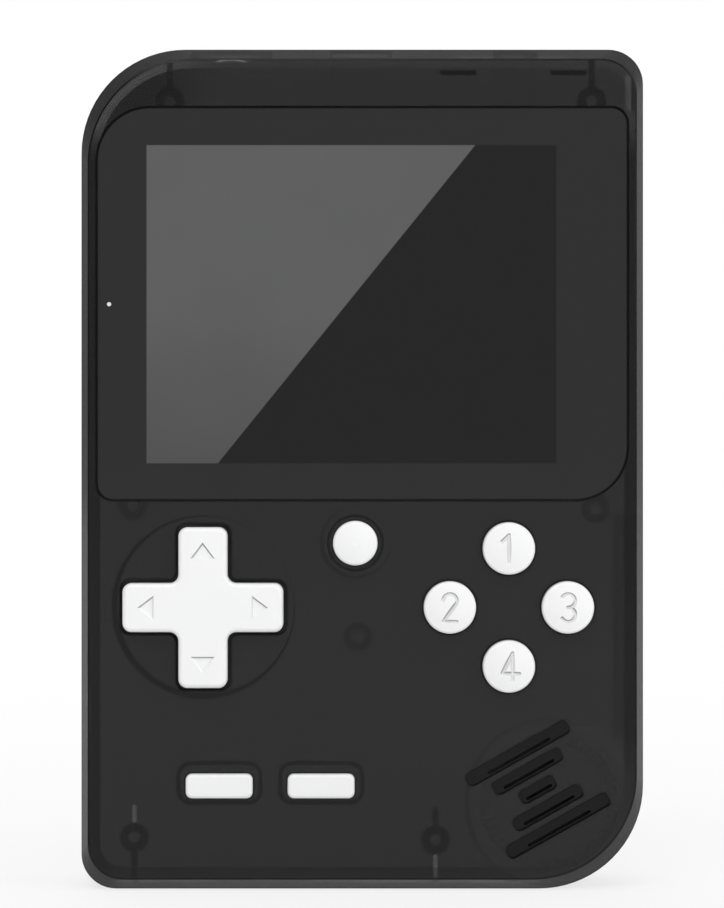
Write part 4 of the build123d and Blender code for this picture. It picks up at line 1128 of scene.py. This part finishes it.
def sheet_tree(material, sizes):
    """Solid with a round hole through it at each loose point that comes with it."""
    tree, given = new_tree("holed_sheet", sizes)
    faces = result(tree, "GeometryNodeInputMeshVertexNeighbors", output="Face Count")
    split = add(tree, "GeometryNodeSeparateGeometry", given["Geometry"], faces.step("LESS_THAN", 0.5))
    points, solid = Value(split.outputs["Selection"]), Value(split.outputs["Inverted"])
    reach, hole_points = given["Reach"], 40
    hole = rod(tree, reach * -1.0, reach, 2, ring_curve(tree, given["Hole"], hole_points))
    return end_tree(cut_away(solid, copies(points, moved(hole, turn=TO_FRONT))), material)


def dots_tree(material, sizes):
    """Flat round dots scattered over faces, with a fixed seed."""
    tree, given = new_tree("dots", sizes)
    points = result(tree, "GeometryNodeDistributePointsOnFaces", distribute_method="POISSON",
                    Mesh=given["Geometry"], Distance_Min=given["Gap"], Density_Max=given["Density"],
                    Seed=given["Seed"])
    flatness = 0.35
    ball = result(tree, "GeometryNodeMeshUVSphere", Segments=12, Rings=6, Radius=given["Radius"])
    dot = result(tree, "GeometryNodeTransform", Geometry=ball, Scale=(1.0, flatness, 1.0))
    return end_tree(copies(points, dot), material)


# Pieces

class CONSOLE_OT_shells(bpy.types.Operator):
    """Finish the two shells and the battery door"""
    bl_idname = "console.shells"
    bl_label = "Shells"

    def execute(self, context):
        dress(smoke_plastic(context.scene.console_shell), "front_shell", "rear_shell", "battery_door")
        return {"FINISHED"}


class CONSOLE_OT_screen(bpy.types.Operator):
    """Finish the screen lens and the display behind it"""
    bl_idname = "console.screen"
    bl_label = "Screen"

    def execute(self, context):
        dress(lens_plastic(context.scene.console_screen), "screen_lens")
        dress(finish("black_foam"), "lens_tape", "lcd_gasket", "speaker_gasket")
        dress(finish("display_glass"), "lcd_panel")
        dress(finish("light_guide"), "lcd_backlight", "light_pipe")
        dress(finish("power_light"), "power_led")
        dress(finish("cable_film"), "lcd_ribbon")
        return {"FINISHED"}


class CONSOLE_OT_controls(bpy.types.Operator):
    """Finish the white controls"""
    bl_idname = "console.controls"
    bl_label = "Controls"

    def execute(self, context):
        dress(white_plastic(context.scene.console_controls), *ROUND_BUTTONS, "direction_pad",
              "reset_button", "select_button", "start_button", "power_knob")
        dress(finish("soft_rubber"), "dpad_membrane", "action_membrane", "reset_membrane",
              "menu_membrane")
        return {"FINISHED"}


class CONSOLE_OT_insides(bpy.types.Operator):
    """Finish the board and everything that it carries"""
    bl_idname = "console.insides"
    bl_label = "Insides"

    def execute(self, context):
        dress(finish("board_laminate"), "main_board")
        dress(finish("black_moulding"), "main_chip", "flash_chip", "lcd_connector", "switch_lever",
              "usb_tongue", "jack_body", "volume_pot", "volume_wheel", "contact_block")
        dress(finish("ceramic_chip"), "chip_capacitors")
        dress(finish("plated_steel"), "clock_crystal", "lcd_frame", "switch_body", "usb_socket",
              "jack_bush", "speaker_magnet", "shell_screws", "board_screws", "wheel_screw",
              "wheel_shaft", "dpad_pivot")
        dress(finish("black_steel"), "speaker_frame")
        dress(finish("gold_contact"), "battery_contacts")
        dress(finish("lead_insulation"), "speaker_leads")
        dress(finish("cone_paper"), "speaker_cone")
        dress(finish("battery_wrap"), "battery")
        return {"FINISHED"}


class CONSOLE_OT_screws(bpy.types.Operator):
    """Make the threaded screws of the shells and of the board"""
    bl_idname = "console.screws"
    bl_label = "Screws"

    def execute(self, context):
        settings = context.scene.console_screws
        sizes = {"Head radius": 0.0, "Head thickness": 0.0, "Length": 0.0,
                 "Thread radius": settings.thread_radius, "Pitch": settings.pitch,
                 "Slot": settings.slot}
        tree = screw_tree(finish("plated_steel"), sizes)
        kinds = (("shell_screws", settings.head_radius, settings.head_thick),
                 ("board_screws", settings.board_head_radius, settings.board_head_thick))
        for node, radius, thick in kinds:
            low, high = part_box(node)
            seat = high.y - thick
            sizes.update({"Head radius": radius, "Head thickness": thick, "Length": seat - low.y})
            spots = [(across, seat, up) for across, up in clumps(node)]
            grow("threaded_" + node, tree, sizes, spots, (node,))
        return {"FINISHED"}


class CONSOLE_OT_wheel(bpy.types.Operator):
    """Make the knurled volume wheel"""
    bl_idname = "console.wheel"
    bl_label = "Volume wheel"

    def execute(self, context):
        settings = context.scene.console_wheel
        low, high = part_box("volume_wheel")
        shaft_low, shaft_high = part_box("wheel_shaft")
        sizes = {"Teeth": settings.teeth, "Tooth": settings.tooth, "Hub radius": settings.hub,
                 "Hub sink": settings.sink, "Thickness": high.y - low.y,
                 "Radius": context.scene.console_shell.wheel,
                 "Bore": (shaft_high.x - shaft_low.x) / 2}
        across, up = middle("wheel_shaft")
        grow("knurled_wheel", wheel_tree(finish("black_moulding"), sizes), sizes, [(across, low.y, up)],
             ("volume_wheel",), body="volume_wheel")
        return {"FINISHED"}


def merged_copy(name):
    """Points and faces of a node whose loose triangles are merged."""
    work = bmesh.new()
    work.from_mesh(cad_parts[name].data)
    bmesh.ops.remove_doubles(work, verts=work.verts, dist=SAME_SPOT)
    work.verts.index_update()
    points = [tuple(vertex.co) for vertex in work.verts]
    faces = [[vertex.index for vertex in face.verts] for face in work.faces]
    work.free()
    return points, faces


class CONSOLE_OT_domes(bpy.types.Operator):
    """Make the rubber sheets and the domes that the buttons press flat"""
    bl_idname = "console.domes"
    bl_label = "Rubber domes"

    def execute(self, context):
        settings = context.scene.console_rubber
        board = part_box("main_board")[0].y
        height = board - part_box("action_membrane")[0].y
        domes = {"Base": settings.base, "Top": settings.top, "Wall": settings.wall,
                 "Crown": settings.crown, "Sheet": settings.sheet, "Height": height}
        sheets = {"Hole": settings.base + settings.gap, "Reach": height * 2}
        dome = dome_tree(finish("soft_rubber"), domes)
        sheet = sheet_tree(finish("soft_rubber"), sheets)
        groups = {
            "action_membrane": ROUND_BUTTONS,
            "reset_membrane": ("reset_button",),
            "menu_membrane": ("select_button", "start_button"),
        }
        for node, buttons in groups.items():
            places = [(middle(button)[0], board, middle(button)[1]) for button in buttons]
            points, faces = merged_copy(node)
            grow(node + "_sheet", sheet, sheets, points + places, (node,), faces)
            for button, spot in zip(buttons, places):
                thing = grow(button + "_dome", dome, domes, [spot], (node,))
                button + "_press"
                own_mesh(thing)
                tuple(spot)
        return {"FINISHED"}


class CONSOLE_OT_board_metal(bpy.types.Operator):
    """Make the chip legs, the connector pins, the tongue's contacts and the solder dots"""
    bl_idname = "console.board_metal"
    bl_label = "Board metal"

    def execute(self, context):
        settings = context.scene.console_board
        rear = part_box("main_board")[1].y
        self.grow_legs(settings, rear)
        self.grow_strips(settings, rear)
        self.scatter_dots(settings, rear)
        return {"FINISHED"}

    def grow_legs(self, settings, rear):
        """Legs of the processor and of the memory chip."""
        legs = {"Reach": settings.leg_reach, "Height": settings.leg_height, "Width": 0.0,
                "Metal": settings.metal, "Half side": 0.0, "Legs": 0, "Pitch": 0.0, "Sides": 0}
        tree = legs_tree(finish("plated_steel"), legs)
        leg_share = 0.45
        # Chip, legs on each side, their pitch and the number of sides with legs
        chips = (("main_chip", settings.legs, settings.leg_pitch, 4),
                 ("flash_chip", settings.memory_legs, settings.memory_pitch, 2))
        for node, legs_on_side, pitch, sides in chips:
            low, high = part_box(node)
            across, up = middle(node)
            legs.update({"Width": pitch * leg_share, "Half side": (high.z - low.z) / 2,
                         "Legs": legs_on_side, "Pitch": pitch, "Sides": sides})
            grow(node + "_legs", tree, legs, [(across, rear, up)])

    def grow_strips(self, settings, rear):
        """Pins of the display connector and contacts of the charging tongue."""
        strips = {"Count": settings.pins, "Pitch": settings.pin_pitch,
                  "Width": settings.pin_pitch / 2, "Thickness": settings.metal,
                  "Length": settings.leg_reach}
        tree = strips_tree(finish("gold_contact"), strips)
        spot = (middle("lcd_connector")[0], rear + settings.metal / 2,
                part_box("lcd_connector")[1].z + settings.leg_reach / 4)
        grow("connector_pins", tree, strips, [spot])
        low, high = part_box("usb_tongue")
        across, up = middle("usb_tongue")
        tall, long_share, rise_share = high.z - low.z, 0.8, 0.05
        strips.update({"Count": settings.contacts, "Pitch": settings.contact_pitch,
                       "Width": settings.contact_pitch / 2, "Length": tall * long_share})
        spots = [(across, level, up + tall * rise_share) for level in (low.y, high.y)]
        grow("tongue_contacts", tree, strips, spots)

    def scatter_dots(self, settings, rear):
        """Solder dots on the two bare stretches of the board's rear."""
        dots = {"Gap": settings.dot_gap, "Density": 2 / settings.dot_gap ** 2,
                "Radius": settings.dot_radius, "Seed": settings.seed}
        # Left, right, bottom and top of each stretch, in millimetres
        bare_stretches = ((-30.5, -23.5, 31.0, 108.0), (19.5, 31.0, 62.0, 104.0))
        corners, faces = [], []
        for stretch in bare_stretches:
            left, right, bottom, top = (side * MM for side in stretch)
            first = len(corners)
            corners += [(left, rear, bottom), (left, rear, top), (right, rear, top),
                        (right, rear, bottom)]
            faces.append(range(first, first + 4))
        tree = dots_tree(finish("plated_steel"), dots)
        grow("solder_dots", tree, dots, corners, faces=faces)


# Stage

# Size and place of each lamp, in metres
KEY_LAMP = (0.5, (-0.15, -0.6, 0.8))
FILL_LAMP = (0.6, (0.6, -0.45, 0.35))
BACK_LAMP = (0.6, (-0.1, 0.7, 0.6))


def rays(tree, *kinds):
    """One for rays of some kinds, which show the background."""
    seen = add(tree, "ShaderNodeLightPath").outputs
    return most(*(Value(seen[f"Is {kind} Ray"]) for kind in kinds))


def lay_floor(settings):
    """Plain pale floor under the console."""
    mesh = bpy.data.meshes.new("floor")
    sheet = bmesh.new()
    bmesh.ops.create_circle(sheet, cap_ends=True, radius=3.0, segments=64)
    sheet.to_mesh(mesh)
    sheet.free()
    floor = bpy.data.objects.new("floor", mesh)
    bpy.context.scene.collection.objects.link(floor)
    material, tree, shader = new_material("floor_paint")
    shader.inputs["Base Color"].default_value = settings.floor_colour
    shader.inputs["Roughness"].default_value = 0.9
    shader.inputs["Specular IOR Level"].default_value = 0.1
    away = result(tree, "ShaderNodeVectorMath", place(tree), operation="LENGTH", output="Value")
    paler = remap(away, settings.floor_near, settings.floor_far, settings.floor_white, 1.0)
    share = rays(tree, "Camera", "Glossy", "Transmission") * paler
    both = result(tree, "ShaderNodeMixShader", share, Value(shader.outputs[0]),
                  result(tree, "ShaderNodeEmission"))
    feed(tree.nodes["Material Output"].inputs["Surface"], both)
    mesh.materials.append(material)


def fill_air(settings):
    """Even light from all around, weaker from the left, that the camera sees as white."""
    world = bpy.data.worlds.new("studio_air")
    bpy.context.scene.world = world
    world.use_nodes = True
    tree = world.node_tree
    tree.nodes.clear()
    left_full, left_end = -0.9, -0.3
    way = axes_of(result(tree, "ShaderNodeTexCoord", output="Generated"))
    level = remap(way["X"], left_full, left_end, settings.air * settings.air_left, settings.air,
                  "SMOOTHSTEP")
    light = result(tree, "ShaderNodeBackground", WHITE, level)
    white = result(tree, "ShaderNodeBackground", WHITE, 1.0)
    both = result(tree, "ShaderNodeMixShader", rays(tree, "Camera", "Transmission"), light, white)
    add(tree, "ShaderNodeOutputWorld", Surface=both)


def hang_lamp(name, power, size, spot):
    """Square soft lamp turned towards the middle of the console."""
    lamp = bpy.data.lights.new(name, "AREA")
    lamp.shape = "SQUARE"
    lamp.size = size
    lamp.energy = power
    thing = bpy.data.objects.new(name, lamp)
    thing.location = spot
    aim = Vector((0, 0, CAD_BOX[1].z / 2))
    thing.rotation_euler = (aim - Vector(spot)).to_track_quat("-Z", "Y").to_euler()
    bpy.context.scene.collection.objects.link(thing)


def set_camera(settings):
    """Camera square to the face, framed as in the photograph."""
    low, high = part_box("front_shell")
    scale = (high.x - low.x) / (PHOTO_RIGHT - PHOTO_LEFT)
    widest = low.y + settings.bevel
    camera = bpy.data.cameras.new("camera")
    camera.sensor_width = SENSOR
    camera.lens = SENSOR * settings.distance / (FRAME_HEIGHT * scale)
    camera.clip_start = settings.distance / 10
    thing = bpy.data.objects.new("camera", camera)
    across = (FRAME_WIDTH / 2 - (PHOTO_LEFT + PHOTO_RIGHT) / 2) * scale
    up = (PHOTO_BASE - FRAME_HEIGHT / 2) * scale
    thing.location = (across, widest - settings.distance, up)
    thing.rotation_euler = TO_FRONT
    bpy.context.scene.collection.objects.link(thing)
    bpy.context.scene.camera = thing


class CONSOLE_OT_stage(bpy.types.Operator):
    """Set the floor, the lamps, the air and the camera"""
    bl_idname = "console.stage"
    bl_label = "Stage"

    def execute(self, context):
        settings = context.scene.console_stage
        lay_floor(settings)
        fill_air(settings)
        hang_lamp("key_lamp", settings.key, *KEY_LAMP)
        hang_lamp("fill_lamp", settings.fill, *FILL_LAMP)
        hang_lamp("back_lamp", settings.fill, *BACK_LAMP)
        set_camera(settings)
        return {"FINISHED"}


class CONSOLE_PT_panel(bpy.types.Panel):
    """Lists the settings and the pieces of the console"""
    bl_idname = "CONSOLE_PT_panel"
    bl_label = "Console"
    bl_space_type = "VIEW_3D"
    bl_region_type = "UI"
    bl_category = "Console"

    def draw(self, context):
        for name, group in GROUPS.items():
            box = self.layout.box()
            for setting in group.__annotations__:
                box.prop(getattr(context.scene, name), setting)
        for operator in OPERATORS:
            self.layout.operator(operator.bl_idname)


GROUPS = {
    "console_shell": ShellSettings,
    "console_screen": ScreenSettings,
    "console_controls": ControlSettings,
    "console_screws": ScrewSettings,
    "console_wheel": WheelSettings,
    "console_rubber": RubberSettings,
    "console_board": BoardSettings,
    "console_stage": StageSettings,
}
OPERATORS = (
    CONSOLE_OT_shells,
    CONSOLE_OT_screen,
    CONSOLE_OT_controls,
    CONSOLE_OT_insides,
    CONSOLE_OT_screws,
    CONSOLE_OT_wheel,
    CONSOLE_OT_domes,
    CONSOLE_OT_board_metal,
    CONSOLE_OT_stage,
)


def register():
    for kind in (*GROUPS.values(), *OPERATORS, CONSOLE_PT_panel):
        bpy.utils.register_class(kind)
    for name, group in GROUPS.items():
        setattr(bpy.types.Scene, name, PointerProperty(type=group))


def unregister():
    for name in GROUPS:
        delattr(bpy.types.Scene, name)
    for kind in reversed((*GROUPS.values(), *OPERATORS, CONSOLE_PT_panel)):
        bpy.utils.unregister_class(kind)


def main():
    """Makes every piece in order."""
    register()
    bpy.context.scene.view_settings.view_transform = "Standard"
    for operator in OPERATORS:
        category, name = operator.bl_idname.split(".")
        getattr(getattr(bpy.ops, category), name)()


if __name__ == "__main__":
    main()
